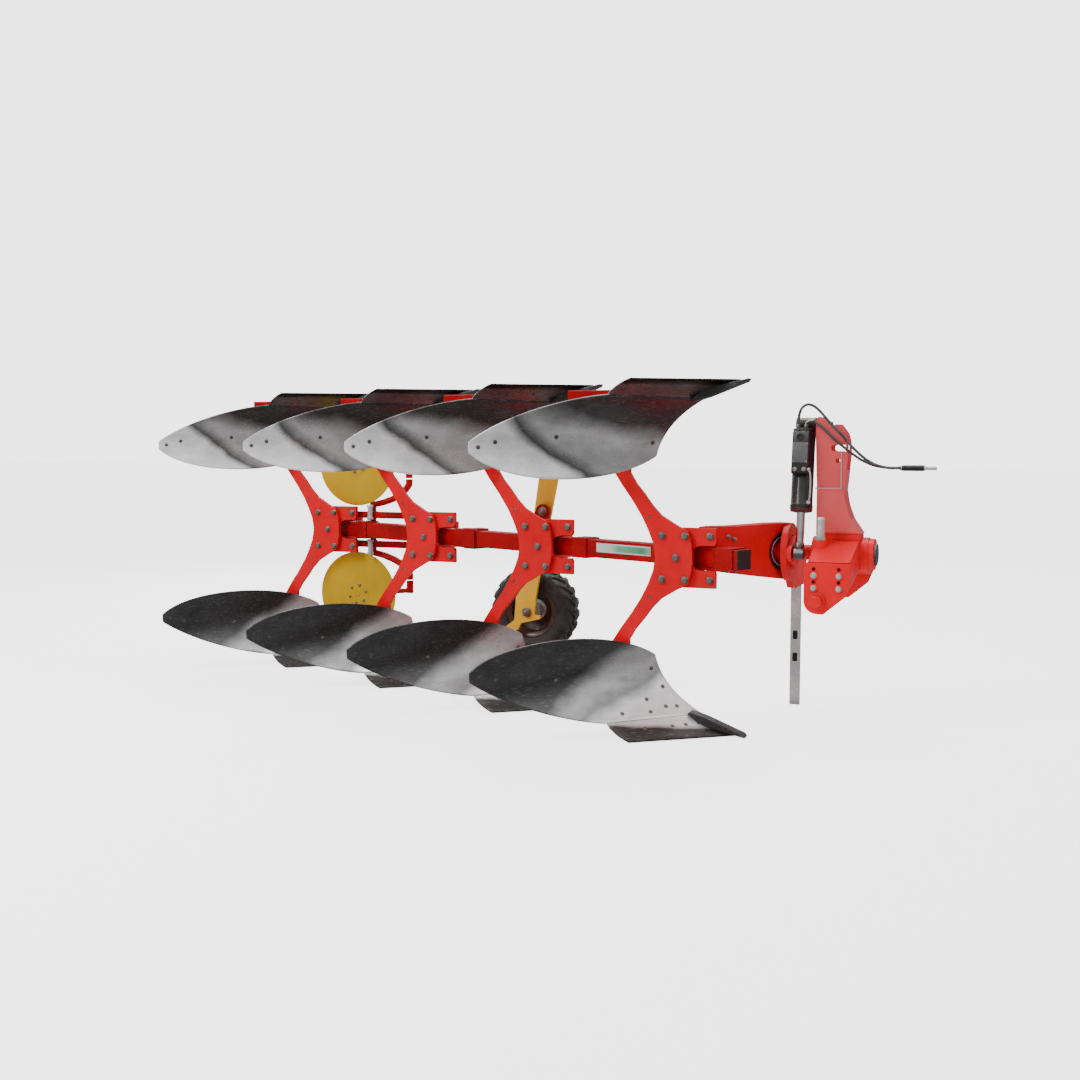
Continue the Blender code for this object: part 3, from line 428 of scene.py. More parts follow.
FIRST_LEG = Vector((0.0, -0.597, 0.0))
LEG_STEP = Vector((-0.95, 0.398, 0.0))
BEAM_SLOPE = LEG_STEP.y / LEG_STEP.x
BEAM_Y = -0.429                                  # the beam's middle beside the front leg
BEAM_SPAN = math.hypot(1.0, BEAM_SLOPE)          # length along the beam for each metre of X
BEAM_TURN = Matrix.Rotation(math.atan(BEAM_SLOPE), 4, "Z")
LEG_FACE_Y = -0.015                              # outer face of a leg plate, from its middle
CONSOLE_FACE_Y = 0.0153
CONSOLE_BACK_Y = 0.0453


def beam_middle(x):
    return Vector((x, BEAM_Y + BEAM_SLOPE * x, 0.0))


def finish(material, *names):
    """Give CAD nodes their finish."""
    for name in names:
        for material_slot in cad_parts[name].material_slots:
            material_slot.material = material


def from_work(work):
    bmesh.ops.recalc_face_normals(work, faces=work.faces)
    mesh = bpy.data.meshes.new("shape")
    work.to_mesh(mesh)
    work.free()
    return mesh


def turned(profile, steps=32):
    """A shape turned about Z: the profile is (radius, height), closed at its ends where they lie on Z."""
    work = bmesh.new()
    points = [work.verts.new((radius, 0.0, height)) for radius, height in profile]
    edges = [work.edges.new(pair) for pair in zip(points, points[1:])]
    bmesh.ops.spin(work, geom=points + edges, cent=(0, 0, 0), axis=(0, 0, 1), angle=2 * math.pi, steps=steps)
    bmesh.ops.remove_doubles(work, verts=work.verts, dist=0.00001)
    return from_work(work)


def slab(size, bevel=0.001, segments=2):
    """A block about its own middle, with rounded edges."""
    work = bmesh.new()
    bmesh.ops.create_cube(work, size=1.0)
    bmesh.ops.scale(work, vec=size, verts=work.verts)
    if bevel:
        bmesh.ops.bevel(work, geom=list(work.edges), offset=bevel, segments=segments, affect="EDGES",
                        profile=0.6)
    return from_work(work)


def plate(outline, thickness, bevel=0.0008, holes=()):
    """A flat plate in X and Y with rounded edges, from Z = 0 up."""
    curve = bpy.data.curves.new("plate", "CURVE")
    curve.dimensions = "2D"
    curve.fill_mode = "BOTH"
    curve.extrude = thickness / 2 - bevel
    curve.bevel_depth = bevel
    curve.offset = -bevel
    for edge in (outline, *holes):
        spline = curve.splines.new("POLY")
        spline.points.add(len(edge) - 1)
        for corner, (x, y) in zip(spline.points, edge):
            corner.co = (x, y, 0.0, 1.0)
        spline.use_cyclic_u = True
    mesh = made(curve)
    mesh.transform(Matrix.Translation((0, 0, thickness / 2)))
    work = bmesh.new()
    work.from_mesh(mesh)
    bmesh.ops.remove_doubles(work, verts=work.verts, dist=0.00001)
    return from_work(work)


def at(place, facing=(0, 0, 1), roll=0.0):
    """A placing that turns Z to face a direction, rolled about it."""
    turn = Vector(facing).to_track_quat("Z", "Y").to_matrix().to_4x4()
    return Matrix.Translation(place) @ turn @ Matrix.Rotation(roll, 4, "Z")


def hex_head(across, height, washer=0.0, stub=0.0):
    """A hexagon head or nut on its washer, chamfered on top, with the thread's end where it shows."""
    parts = []
    base = 0.0
    if washer:
        base = 0.0035
        parts.append((turned([(0.0, 0.0), (washer, 0.0), (washer, 0.0025), (washer - 0.001, base),
                              (0.0, base)], 28), Matrix()))
    radius = across / math.sqrt(3)
    work = bmesh.new()
    bmesh.ops.create_cone(work, cap_ends=True, segments=6, radius1=radius, radius2=radius, depth=height)
    bmesh.ops.translate(work, vec=(0, 0, base + height / 2), verts=work.verts)
    top = [edge for edge in work.edges if all(v.co.z > base + height * 0.9 for v in edge.verts)]
    bmesh.ops.bevel(work, geom=top, offset=height * 0.16, segments=2, affect="EDGES")
    parts.append((from_work(work), Matrix()))
    if stub:
        tip = base + height + stub
        rings = [(across * 0.30 * (1.0 if k % 2 else 0.94), base + height * 0.9
                  + (stub + height * 0.1) * k / 8) for k in range(8)]
        parts.append((turned([(0.0, base)] + rings + [(across * 0.24, tip), (0.0, tip)], 20), Matrix()))
    return gathered_mesh(parts)


LEG_BOLTS = [(0.0, 0.0), (-0.0755, 0.1152), (-0.0755, -0.1152), (0.0504, 0.1152), (0.0504, -0.1152)]
CONSOLE_BOLTS = [(0.176, 0.1154), (0.176, -0.1154)]
BOLT_ACROSS = 0.030
bolt = hex_head(BOLT_ACROSS, 0.013, washer=0.0205)
nut = hex_head(BOLT_ACROSS, 0.017, washer=0.0205, stub=0.008)

finish(FRAME_RED, "leg_1", "leg_2", "leg_3", "leg_4", "console_1", "console_2", "console_3", "console_4",
       "front_arm")
finish(BEAM_SHADED_RED, "main_beam", "wheel_bracket", "coulter_frame", "coulter_arm_lower", "coulter_arm_upper")
for number in range(4):
    leg = FIRST_LEG + LEG_STEP * number
    heads = [(bolt, at(leg + Vector((x, LEG_FACE_Y, z)), (0, -1, 0), 0.3 + 1.7 * k + number))
             for k, (x, z) in enumerate(LEG_BOLTS)]
    heads += [(bolt, at(leg + Vector((x, CONSOLE_FACE_Y, z)), (0, -1, 0), 0.8 * k + number))
              for k, (x, z) in enumerate(CONSOLE_BOLTS)]
    heads += [(nut, at(leg + Vector((x, CONSOLE_BACK_Y, z)), (0, 1, 0), 0.5 + 1.3 * k))
              for k, (x, z) in enumerate(LEG_BOLTS[1:] + CONSOLE_BOLTS)]
    show(f"leg_bolts_{number + 1}", heads, BOLT_STEEL, "plough_frame")

# The spare holes of the legs are stopped with oiled pins.
hole_pin = turned([(0.0, 0.0), (0.0085, 0.0), (0.0085, 0.026), (0.0070, 0.028), (0.0, 0.028)], 20)
for number in range(4):
    leg = FIRST_LEG + LEG_STEP * number
    pins = [(hole_pin, at(leg + Vector((-0.142, 0.0145, side * 0.211)), (0, -1, 0))) for side in (-1, 1)]
    show(f"leg_pins_{number + 1}", pins, BOLT_STEEL, "plough_frame")

# Weld seams around the beam's sleeves, the collar and the consoles' lugs, laid in short ripples.
WELD_STEP = 0.005


def weld_line(start, end):
    start, end = Vector(start), Vector(end)
    count = max(2, round((end - start).length / WELD_STEP))
    return [start.lerp(end, k / count) for k in range(count + 1)]


def weld_ripple(number):
    return 1.0 + 0.16 * math.sin(number * 2.4) + 0.06 * math.sin(number * 0.9)


def square_seam(x, half):
    """A seam around the beam at a station, against a sleeve of that half size."""
    corners = [beam_middle(x) + BEAM_TURN.to_3x3() @ Vector((0.0, side * half, level * half))
               for side, level in ((-1, -1), (-1, 1), (1, 1), (1, -1), (-1, -1))]
    return [weld_line(a, b) for a, b in zip(corners, corners[1:])]


BEAM_HALF = 0.050
SEAM_HALF = BEAM_HALF + 0.001
SLEEVE_ENDS = (0.325, 0.225)                     # along X from each leg; the first leg has no outer one
COLLAR_ENDS = (-1.50, -1.59)
LUG_HALF = 0.094
LUG_EDGES = (0.053, 0.083)
seams = []
for number in range(4):
    for x in SLEEVE_ENDS if number else SLEEVE_ENDS[1:]:
        seams += square_seam(x + LEG_STEP.x * number, SEAM_HALF)
    leg = FIRST_LEG + LEG_STEP * number
    for level in (-1, 1):
        for edge in LUG_EDGES:
            ends = [leg + Vector((side * LUG_HALF, CONSOLE_BACK_Y + 0.001, level * edge)) for side in (-1, 1)]
            seams.append(weld_line(*ends))
for x in COLLAR_ENDS:
    seams += square_seam(x, SEAM_HALF)
show("beam_welds", tube_mesh(seams, 0.0042, 1, weld_ripple), BEAM_SHADED_RED, "plough_frame",
     sharp=60.0)

# A moulded cap closes the beam's front end, and a blank two-colour strip is stuck on its side.
moulded, tree, shader, where = new_finish("moulded_black")
pitted = put(tree, "ShaderNodeTexVoronoi", {"Vector": where, "Scale": 900.0}).outputs["Distance"]
fill(tree, shader, {"Base Color": (0.012, 0.012, 0.013, 1.0),
                    "Roughness": spread(tree, noise(tree, where, 30.0), 0.3, 0.7, 0.42, 0.62),
                    "Normal": bump(tree, pitted, 0.0002, 0.4)})
finish(moulded, "beam_end_cap")

STRIP_X = (-0.555, -0.185)
STRIP_Z = 0.009
STRIP_HEIGHT = 0.052
strip_film, tree, shader, where = new_finish("strip_film")
place = put(tree, "ShaderNodeSeparateXYZ", {"Vector": where})
along_strip = spread(tree, place.outputs["X"], *(x + AXIS.x for x in STRIP_X))
strip_foot = AXIS.z + STRIP_Z - STRIP_HEIGHT / 2
up_strip = spread(tree, place.outputs["Z"], strip_foot, strip_foot + STRIP_HEIGHT)
field = ramp(tree, along_strip, [(0.0, (0.62, 0.66, 0.66)), (0.22, (0.55, 0.60, 0.60)),
                                 (0.34, (0.16, 0.42, 0.26)), (0.80, (0.07, 0.34, 0.17)),
                                 (0.93, (0.30, 0.50, 0.38)), (1.0, (0.62, 0.64, 0.62))])
rim_mask = ramp(tree, up_strip, [(0.0, 1.0), (0.12, 1.0), (0.18, 0.0), (0.82, 0.0), (0.88, 1.0)])
fill(tree, shader, {"Base Color": blend_colour(tree, rim_mask, field, (0.62, 0.64, 0.63, 1.0)),
                    "Roughness": spread(tree, noise(tree, where, 40.0, 6.0), 0.3, 0.7, 0.22, 0.45)})
strip_offset = Vector((0.0, -BEAM_HALF - 0.0012, STRIP_Z))
strip_middle = beam_middle(sum(STRIP_X) / 2) + BEAM_TURN.to_3x3() @ strip_offset
strip = slab(((STRIP_X[1] - STRIP_X[0]) * BEAM_SPAN, 0.0016, STRIP_HEIGHT), 0.0005, 1)
strip.transform(Matrix.Translation(strip_middle) @ BEAM_TURN)
show("beam_strip", strip, strip_film, "plough_frame")

# The front arm: four studs beside the beam, the ring that it bolts to the turnover shaft with, and
# the bearing's black seal and plated race, seen through its round window.
ARM_START = Vector((0.150, -0.477, 0.0))
ARM_HEADING = (Vector((0.470, -0.047, 0.0)) - ARM_START).normalized()
ARM_FACING = Vector((ARM_HEADING.y, -ARM_HEADING.x, 0.0))
small_bolt = hex_head(0.019, 0.009, washer=0.0135, stub=0.004)
studs = [(small_bolt, at(ARM_START + ARM_HEADING * along + Vector((0, 0, z)), ARM_FACING, along * 9))
         for along, z in ((0.120, 0.102), (0.163, 0.086), (0.114, -0.080), (0.162, -0.085))]
show("arm_studs", studs, BOLT_STEEL, "plough_frame")
FLANGE_FRONT_X = 0.488
flange = turned([(0.090, -0.0358), (0.1575, -0.0358), (0.1603, -0.0330), (0.1603, -0.0025), (0.1575, 0.0006),
                 (0.094, 0.0006), (0.090, -0.0030)], 112)
show("flange_ring", [(flange, at((FLANGE_FRONT_X, 0, 0), (1, 0, 0)))], FRAME_RED, "plough_frame")
ZINC = bare_metal("zinc_plate", (0.70, 0.74, 0.73), (0.52, 0.55, 0.55), (0.30, 0.50), shade_and_dirt_amount=0.7,
                  metallic=0.55, mottle=11.0)
BLACK_COAT = painted("black_coat", (0.016, 0.016, 0.017), (0.007, 0.007, 0.008), bare=(0.22, 0.22, 0.22),
                     dust=0.3)
window = at(ARM_START + ARM_HEADING * 0.516 - ARM_FACING * 0.004 + Vector((0, 0, 0.006)), ARM_FACING)
seal = turned([(0.086, -0.030), (0.108, -0.030), (0.110, -0.024), (0.110, -0.004), (0.106, 0.001),
               (0.098, 0.002), (0.090, -0.002), (0.086, -0.008), (0.086, -0.030)], 64)
race = turned([(0.074, -0.040), (0.0862, -0.040), (0.0862, -0.012), (0.0840, -0.008), (0.0765, -0.008),
               (0.074, -0.012), (0.074, -0.040)], 64)
show("window_seal", [(seal, window)], BLACK_COAT, "plough_frame")
show("window_race", [(race, window)], ZINC, "plough_frame")

# ---------------------------------------------------------------- plough bodies
# Case-hardened moldboards pressed from three-layer steel and polished by the soil, with rolled steel
# shares and forged chisel points bolted under them. Upper bodies are the lower ones in mirror image.

SHARE_TIP = Vector((0.373, 0.028))
SHARE_ANGLE = math.radians(38.2)       # share edge to the direction of travel
TOP_TWIST = math.radians(8.4)          # how much more the top turns the soil
SET_BACK = 0.6                         # place of the guide curve along the share edge
ENTRY_ANGLE = math.radians(18.0)
CURL_RADIUS = 0.4558
SEAM = 0.100                           # height of the share's back edge
SHIN_Y = 0.075                         # where the land side cuts the working face off
BOARD_RISE = 0.37                      # height over which the turn grows by TOP_TWIST
GROUND = 0.931                         # from the turnover axis down to the ground


def soil_surface(along, height):
    """The working face: a level line that rises up a circular guide curve and turns as it rises."""
    fall = max(-1.0, math.cos(ENTRY_ANGLE) - height / CURL_RADIUS)
    back = CURL_RADIUS * (math.sin(math.acos(fall)) - math.sin(ENTRY_ANGLE))
    turn = SHARE_ANGLE + TOP_TWIST * height / BOARD_RISE
    edge = Vector((-math.cos(SHARE_ANGLE), -math.sin(SHARE_ANGLE)))
    across = Vector((-math.sin(SHARE_ANGLE), math.cos(SHARE_ANGLE)))
    guide = SHARE_TIP + edge * SET_BACK + across * back
    reach = along - SET_BACK
    return Vector((guide.x - math.cos(turn) * reach, guide.y - math.sin(turn) * reach, height - GROUND))


def shin_line(height):
    """Where the working face meets the land side, measured along the share edge."""
    turn = SHARE_ANGLE + TOP_TWIST * height / BOARD_RISE
    return SET_BACK + (soil_surface(SET_BACK, height).y - SHIN_Y) / math.sin(turn)


def on_face(along, height, lift=0.0):
    """A placing on the working face, measured from its land side, facing the soil."""
    here = soil_surface(along + shin_line(height), height)
    aside = soil_surface(along + 0.01 + shin_line(height), height) - here
    above = soil_surface(along + shin_line(height + 0.01), height + 0.01) - here
    facing = aside.cross(above).normalized()
    if facing.x < 0:
        facing = -facing
    return at(here + facing * lift, facing)


def bezier(a, b, c, d, t):
    weights = ((1 - t) ** 3, 3 * t * (1 - t) ** 2, 3 * t * t * (1 - t), t ** 3)
    return tuple(sum(w * p[k] for w, p in zip(weights, (a, b, c, d))) for k in range(2))


def board_top(t):
    return bezier((0.0, 0.400), (0.16, 0.530), (0.83, 0.585), (1.075, 0.375), t)


def board_bottom(t):
    wing = 0.42
    if t < wing:
        return (0.57 * t / wing, SEAM - 0.012 * t / wing)
    return bezier((0.57, SEAM - 0.012), (0.76, 0.105), (0.95, 0.200), (1.085, 0.325), (t - wing) / (1 - wing))


FACE_MAP = "along_and_height"          # metres from the land side, and metres up the working face


def pressed(low_edge, high_edge, columns, rows, thickness, rounding):
    """A curved plate of the working face between a low and a high edge, thickened behind."""
    work = bmesh.new()
    face_map = work.loops.layers.uv.new(FACE_MAP)
    grid, on_map = [], {}
    for i in range(columns + 1):
        low, high = low_edge(i / columns), high_edge(i / columns)
        line = []
        for j in range(rows + 1):
            v = j / rows
            height = low[1] + (high[1] - low[1]) * v
            along = low[0] + (high[0] - low[0]) * v
            corner = work.verts.new(soil_surface(along + shin_line(height), height))
            on_map[corner] = (along, height)
            line.append(corner)
        grid.append(line)
    for i in range(columns):
        for j in range(rows):
            face = work.faces.new((grid[i][j], grid[i][j + 1], grid[i + 1][j + 1], grid[i + 1][j]))
            for loop in face.loops:
                loop[face_map].uv = on_map[loop.vert]
    bmesh.ops.recalc_face_normals(work, faces=work.faces)
    work.faces.ensure_lookup_table()
    if work.faces[0].normal.x < 0:
        bmesh.ops.reverse_faces(work, faces=work.faces)
    mesh = bpy.data.meshes.new("pressed")
    work.to_mesh(mesh)
    work.free()
    return made(mesh, (("SOLIDIFY", {"thickness": thickness, "offset": -1.0}),
                       ("BEVEL", {"width": rounding, "segments": 2, "angle_limit": math.radians(50)})))


# Steel bands: pale where the soil slides hard, dark where it lifts away, with a streak between. The bands are
# partly scour and partly painted reflections.
SCOUR_AND_REFLECTION, given, out = effect("scour_and_reflection", {"Along": "Float", "Edge": "Float", "Soft": "Float",
                                   "Ragged": "Float"}, {"Mask": "Float"})
on_board = put(SCOUR_AND_REFLECTION, "ShaderNodeUVMap", uv_map=FACE_MAP).outputs["UV"]
place = put(SCOUR_AND_REFLECTION, "ShaderNodeSeparateXYZ", {"Vector": on_board})
where = put(SCOUR_AND_REFLECTION, "ShaderNodeTexCoord").outputs["Object"]
ragged = times(SCOUR_AND_REFLECTION, math_of(SCOUR_AND_REFLECTION, "SUBTRACT", noise(SCOUR_AND_REFLECTION, where, 4.0, 5.0, 0.5), 0.5),
                 given["Ragged"])
level = plus(SCOUR_AND_REFLECTION, place.outputs["Y"], times(SCOUR_AND_REFLECTION, place.outputs["X"], given["Along"]))
level = plus(SCOUR_AND_REFLECTION, level, ragged)
beyond = math_of(SCOUR_AND_REFLECTION, "DIVIDE", math_of(SCOUR_AND_REFLECTION, "SUBTRACT", level, given["Edge"]), given["Soft"])
fill(SCOUR_AND_REFLECTION, out, {"Mask": plus(SCOUR_AND_REFLECTION, beyond, 0.5, True)})


def soil_steel(name, zones, flow_angle=0.0, roughness=(0.18, 0.34), stain_and_painted_light_amount=0.3, stain_and_painted_light_colour=(0.085, 0.045, 0.028),
               ragged=0.10):
    """Steel the soil has polished, streaked the way it slides. Zones are laid over one another: each is
    how fast its edge falls along the board, where the edge lies, how soft it is, its grey and its gloss."""
    material, tree, shader, where = new_finish(name)
    flow = put(tree, "ShaderNodeMapping", {"Vector": where, "Rotation": (0.0, 0.0, flow_angle),
                                           "Scale": (7.0, 1.0, 1.0)}, vector_type="TEXTURE").outputs["Vector"]
    body, metal = (*[zones[0][0]] * 3, 1.0), zones[0][1]
    for slope, edge, soft, grey, metallic in zones[1:]:
        mask = use(tree, SCOUR_AND_REFLECTION, along=slope, edge=edge, soft=soft, ragged=ragged)["Mask"]
        body = blend_colour(tree, mask, body, (grey, grey, grey * 1.01, 1.0))
        metal = put(tree, "ShaderNodeMix", {0: mask, "A": metal, "B": metallic}).outputs["Result"]
    clouds = spread(tree, noise(tree, where, 4.2, 8.0, 0.64), 0.36, 0.66)
    streaks = spread(tree, noise(tree, flow, 16.0, 7.0, 0.66), 0.36, 0.66)
    dulled = plus(tree, times(tree, clouds, 0.34), times(tree, streaks, 0.20))
    cloudy = math_of(tree, "SUBTRACT", 1.12, dulled)
    channels = dict.fromkeys(("Red", "Green", "Blue"), cloudy)
    shade = put(tree, "ShaderNodeCombineColor", channels).outputs["Color"]
    body = blend_colour(tree, 1.0, body, shade, "MULTIPLY")
    specks = spread(tree, noise(tree, where, 34.0, 8.0, 0.7), 0.63, 0.72)
    # Rust specks and the corners take the stain colour; in the corners it is painted shade.
    shade_and_dirt_mask = use(tree, CORNER_SHADE_AND_DIRT, reach=0.04, amount=0.8)["Mask"]
    stain_and_painted_light_mask = times(tree, plus(tree, specks, shade_and_dirt_mask), stain_and_painted_light_amount, True)
    body = blend_colour(tree, stain_and_painted_light_mask, body, (*stain_and_painted_light_colour, 1.0))
    hairlines = spread(tree, noise(tree, flow, 150.0, 3.0, 0.6), 0.58, 0.66)
    body = blend_colour(tree, times(tree, hairlines, 0.12), body, (0.80, 0.80, 0.80, 1.0))
    rim = use(tree, EDGE_WEAR, width=0.003, amount=0.5, scale=18.0)
    body = blend_colour(tree, rim["Mask"], body, (0.50, 0.49, 0.48, 1.0))
    gloss = plus(tree, spread(tree, clouds, 0.0, 1.0, *roughness), times(tree, streaks, 0.07))
    dents = plus(tree, times(tree, noise(tree, where, 7.0, 3.0), 6.0),
                    plus(tree, hairlines, noise(tree, flow, 60.0, 4.0)))
    fill(tree, shader, {"Base Color": body, "Metallic": metal,
                        "Roughness": plus(tree, gloss, times(tree, stain_and_painted_light_mask, 0.4), True),
                        "Normal": bump(tree, dents, 0.0005, 0.30, rim["Normal"])})
    return material


SOIL_FLOW = math.radians(218)
# The boards' and shares' grey bands are partly scour and partly painted reflections.
LOWER_BOARD = soil_steel("lower_board_steel",
                         [(0.94, 0.50), (0.33, 0.295, 0.050, 0.26, 0.8), (0.33, 0.345, 0.070, 0.56, 0.6),
                          (0.52, 0.535, 0.080, 0.115, 0.9)], SOIL_FLOW)
UPPER_BOARD = soil_steel("upper_board_steel",
                         [(0.105, 0.9), (0.15, 0.300, 0.090, 0.58, 0.6), (0.60, 0.730, 0.070, 0.13, 0.8),
                          (0.60, 0.785, 0.045, 0.98, 0.45)], SOIL_FLOW)
LOWER_SHARE = soil_steel("lower_share_steel", [(0.055, 0.8), (-0.08, 0.034, 0.022, 0.90, 0.5)], SOIL_FLOW,
                         (0.24, 0.40), 0.35, (0.10, 0.035, 0.028), 0.03)
# The upper share's red stain colour is a painted reflection of the red frame.
UPPER_SHARE = soil_steel("upper_share_steel", [(0.010, 0.9), (0.0, 0.030, 0.012, 0.13, 0.8)], SOIL_FLOW,
                         (0.22, 0.38), 0.5, (0.12, 0.006, 0.006), 0.01)
POINT_STEEL = soil_steel("point_steel", [(0.10, 0.9)], 0.0, (0.36, 0.56), 0.8)
PLOUGH_BOLT = bare_metal("plough_bolt", (0.21, 0.20, 0.19), (0.10, 0.095, 0.09), (0.30, 0.5), shade_and_dirt_amount=0.9,
                         mottle=60.0)
finish(BEAM_SHADED_RED, *[f"landside_{level}_{number}" for level in ("lower", "upper") for number in range(1, 5)])

board = pressed(board_bottom, board_top, 52, 30, 0.009, 0.0018)
blade = pressed(lambda t: (0.06 + 0.60 * t, 0.0125),
                lambda t: (0.04 + 0.53 * t, SEAM - 0.012 * t - 0.002), 36, 8, 0.011, 0.0028)
POINT_WIDTH = 0.073
above_ground = [(0.373, 0.0012), (0.165, 0.042), (0.120, 0.064), (0.066, 0.106), (0.078, 0.118),
                (0.165, 0.093), (0.362, 0.018)]
point_outline = [(x, z - GROUND) for x, z in above_ground]
point = plate(point_outline, POINT_WIDTH, 0.003)
point.transform(Matrix(((1, 0, 0, 0), (0, 0, 1, 0), (0, 1, 0, 0), (0, 0, 0, 1))))
plough_bolt = turned([(0.0, 0.0022), (0.004, 0.0021), (0.0045, 0.0012), (0.0095, 0.0010),
                      (0.0118, 0.0002), (0.0122, -0.002)], 28)
FACE_BOLTS = [(0.080, 0.140), (0.140, 0.142), (0.260, 0.122), (0.200, 0.180), (0.420, 0.122), (0.048, 0.235),
              (0.052, 0.330), (0.620, 0.300), (0.945, 0.325), (1.030, 0.350)]
BLADE_BOLTS = [(0.110, 0.062), (0.190, 0.060), (0.270, 0.058), (0.430, 0.056)]
face_bolts = gathered_mesh([(plough_bolt, on_face(along, height)) for along, height in FACE_BOLTS
                            + BLADE_BOLTS])
point_bolts = gathered_mesh([(plough_bolt, at(Vector((x, POINT_WIDTH / 2, -GROUND + z)), (0.33, 0, 0.94)))
                             for x, z in ((0.120, 0.1062), (0.205, 0.0792))])


def in_mirror(mesh):
    """The same shape for the upper body."""
    work = bmesh.new()
    work.from_mesh(mesh)
    bmesh.ops.scale(work, vec=(1, 1, -1), verts=work.verts)
    bmesh.ops.reverse_faces(work, faces=work.faces)
    copy = bpy.data.meshes.new("shape")
    work.to_mesh(copy)
    work.free()
    return copy


# Behind each board: two stays from the leg to the wing, and the bolts of the frog and the landside.
stay_foot = turned([(0.0, 0.0), (0.022, 0.0), (0.022, 0.004), (0.019, 0.006), (0.0, 0.006)], 24)
stay_nut = hex_head(0.019, 0.010, washer=0.0, stub=0.004)


def wing_stay(along, height, foot):
    """A round stay with flattened ends from the leg plate to the back of the board."""
    end = on_face(along, height, -0.014)
    start, tip = Vector(foot), end.to_translation()
    middle = start.lerp(tip, 0.5) + Vector((-0.01, 0.0, 0.0))
    rod_line = smooth([start, start.lerp(middle, 0.6), middle, middle.lerp(tip, 0.5), tip], 4)
    return [(tube_mesh([rod_line], 0.011, 3), Matrix()), (stay_foot, on_face(along, height, -0.0155)),
            (stay_nut, end @ Matrix.Rotation(math.pi, 4, "X"))]


stays = gathered_mesh(wing_stay(0.56, 0.33, (-0.300, 0.020, -0.700))
                      + wing_stay(0.905, 0.318, (-0.320, 0.020, -0.680)))
FROG_FACE_Y = 0.0453
LANDSIDE_FACE_Y = 0.0752
LANDSIDE_Z = -0.859
frog_bolts = gathered_mesh([(bolt, at((x, FROG_FACE_Y, z), (0, 1, 0), x * 20)) for x, z in
                            ((-0.285, -0.665), (-0.215, -0.665), (-0.285, -0.755), (-0.195, -0.755))]
                           + [(plough_bolt, at((x, LANDSIDE_FACE_Y, LANDSIDE_Z), (0, 1, 0)))
                              for x in (-0.57, -0.43, -0.20, -0.05)])
all_bolts = gathered_mesh([(face_bolts, Matrix()), (point_bolts, Matrix())])

for tag, mirrored, leg in [(f"{level}_{number + 1}", level == "upper", FIRST_LEG + LEG_STEP * number)
                           for number in range(4) for level in ("lower", "upper")]:
    def dressed(mesh):
        """The mesh at its leg, mirrored for an upper body."""
        copy = in_mirror(mesh) if mirrored else mesh.copy()
        copy.transform(Matrix.Translation(leg))
        return copy

    skin = show(f"board_{tag}", dressed(board), UPPER_BOARD if mirrored else LOWER_BOARD, "plough_frame",
                sharp=50.0)
    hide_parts(f"moldboard_{tag}")
    edge = show(f"share_blade_{tag}", dressed(blade), UPPER_SHARE if mirrored else LOWER_SHARE,
                "plough_frame", sharp=50.0)
    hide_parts(f"share_{tag}")
    show(f"chisel_point_{tag}", dressed(point), POINT_STEEL, "plough_frame", sharp=40.0)
    show(f"plough_bolts_{tag}", dressed(all_bolts), PLOUGH_BOLT, "plough_frame")
    show(f"wing_stays_{tag}", dressed(stays), BEAM_SHADED_RED, "plough_frame")
    show(f"frog_bolts_{tag}", dressed(frog_bolts), BOLT_STEEL, "plough_frame")

# ---------------------------------------------------------------- headstock and tower
# A cast and welded headstock: a bearing housing with two sloping arms, bolted link plates with
# welded pin bosses, and a tower of bent plate with a slot for the top link's pin.

LINK_FACE_Y = 0.4133
HEAD_RED = painted("headstock_red", (0.97, 0.002, 0.014), (0.80, 0.001, 0.009), roughness=0.32, shade_and_dirt_amount=0.6,
                   dust=0.05, specular=0.18, coat=0.08)
# The tower has the headstock's red painted paler and pinker: a painted sheen.
TOWER_SHEEN_RED = painted("tower_red_painted_sheen", (0.93, 0.115, 0.125), (0.78, 0.055, 0.065), roughness=0.34, shade_and_dirt_amount=0.5,
                    dust=0.10, specular=0.4)
# The tower's cheek seams are painted pale pink: a painted highlight along the plate edges.
TOWER_SEAM_HIGHLIGHT = painted("tower_seam_highlight", (0.86, 0.42, 0.42), (0.70, 0.28, 0.28), roughness=0.34, shade_and_dirt_amount=0.4,
                     dust=0.10)
finish(HEAD_RED, "headstock", "link_plate_right", "link_plate_left", "turnover_shaft")
finish(TOWER_SHEEN_RED, "tower")

plate_bolt = hex_head(0.024, 0.011, washer=0.0165)
heads = []
for side in (-1, 1):
    heads += [(plate_bolt, at((x, side * LINK_FACE_Y, z), (0, side, 0), x * 30 + z * 50))
              for x in (0.683, 0.812) for z in (-0.084, -0.150)]
show("headstock_bolts", heads, ZINC, "headstock")

# Welded bosses that carry the lower link pins.
boss = turned([(0.0, 0.0), (0.047, 0.0), (0.047, 0.006), (0.044, 0.009), (0.033, 0.010), (0.0325, 0.044),
               (0.030, 0.0477), (0.026, 0.0485), (0.0, 0.0485)], 48)
show("pin_bosses", [(boss, at((0.700, side * LINK_FACE_Y, -0.218), (0, side, 0))) for side in (-1, 1)],
     HEAD_RED, "headstock")

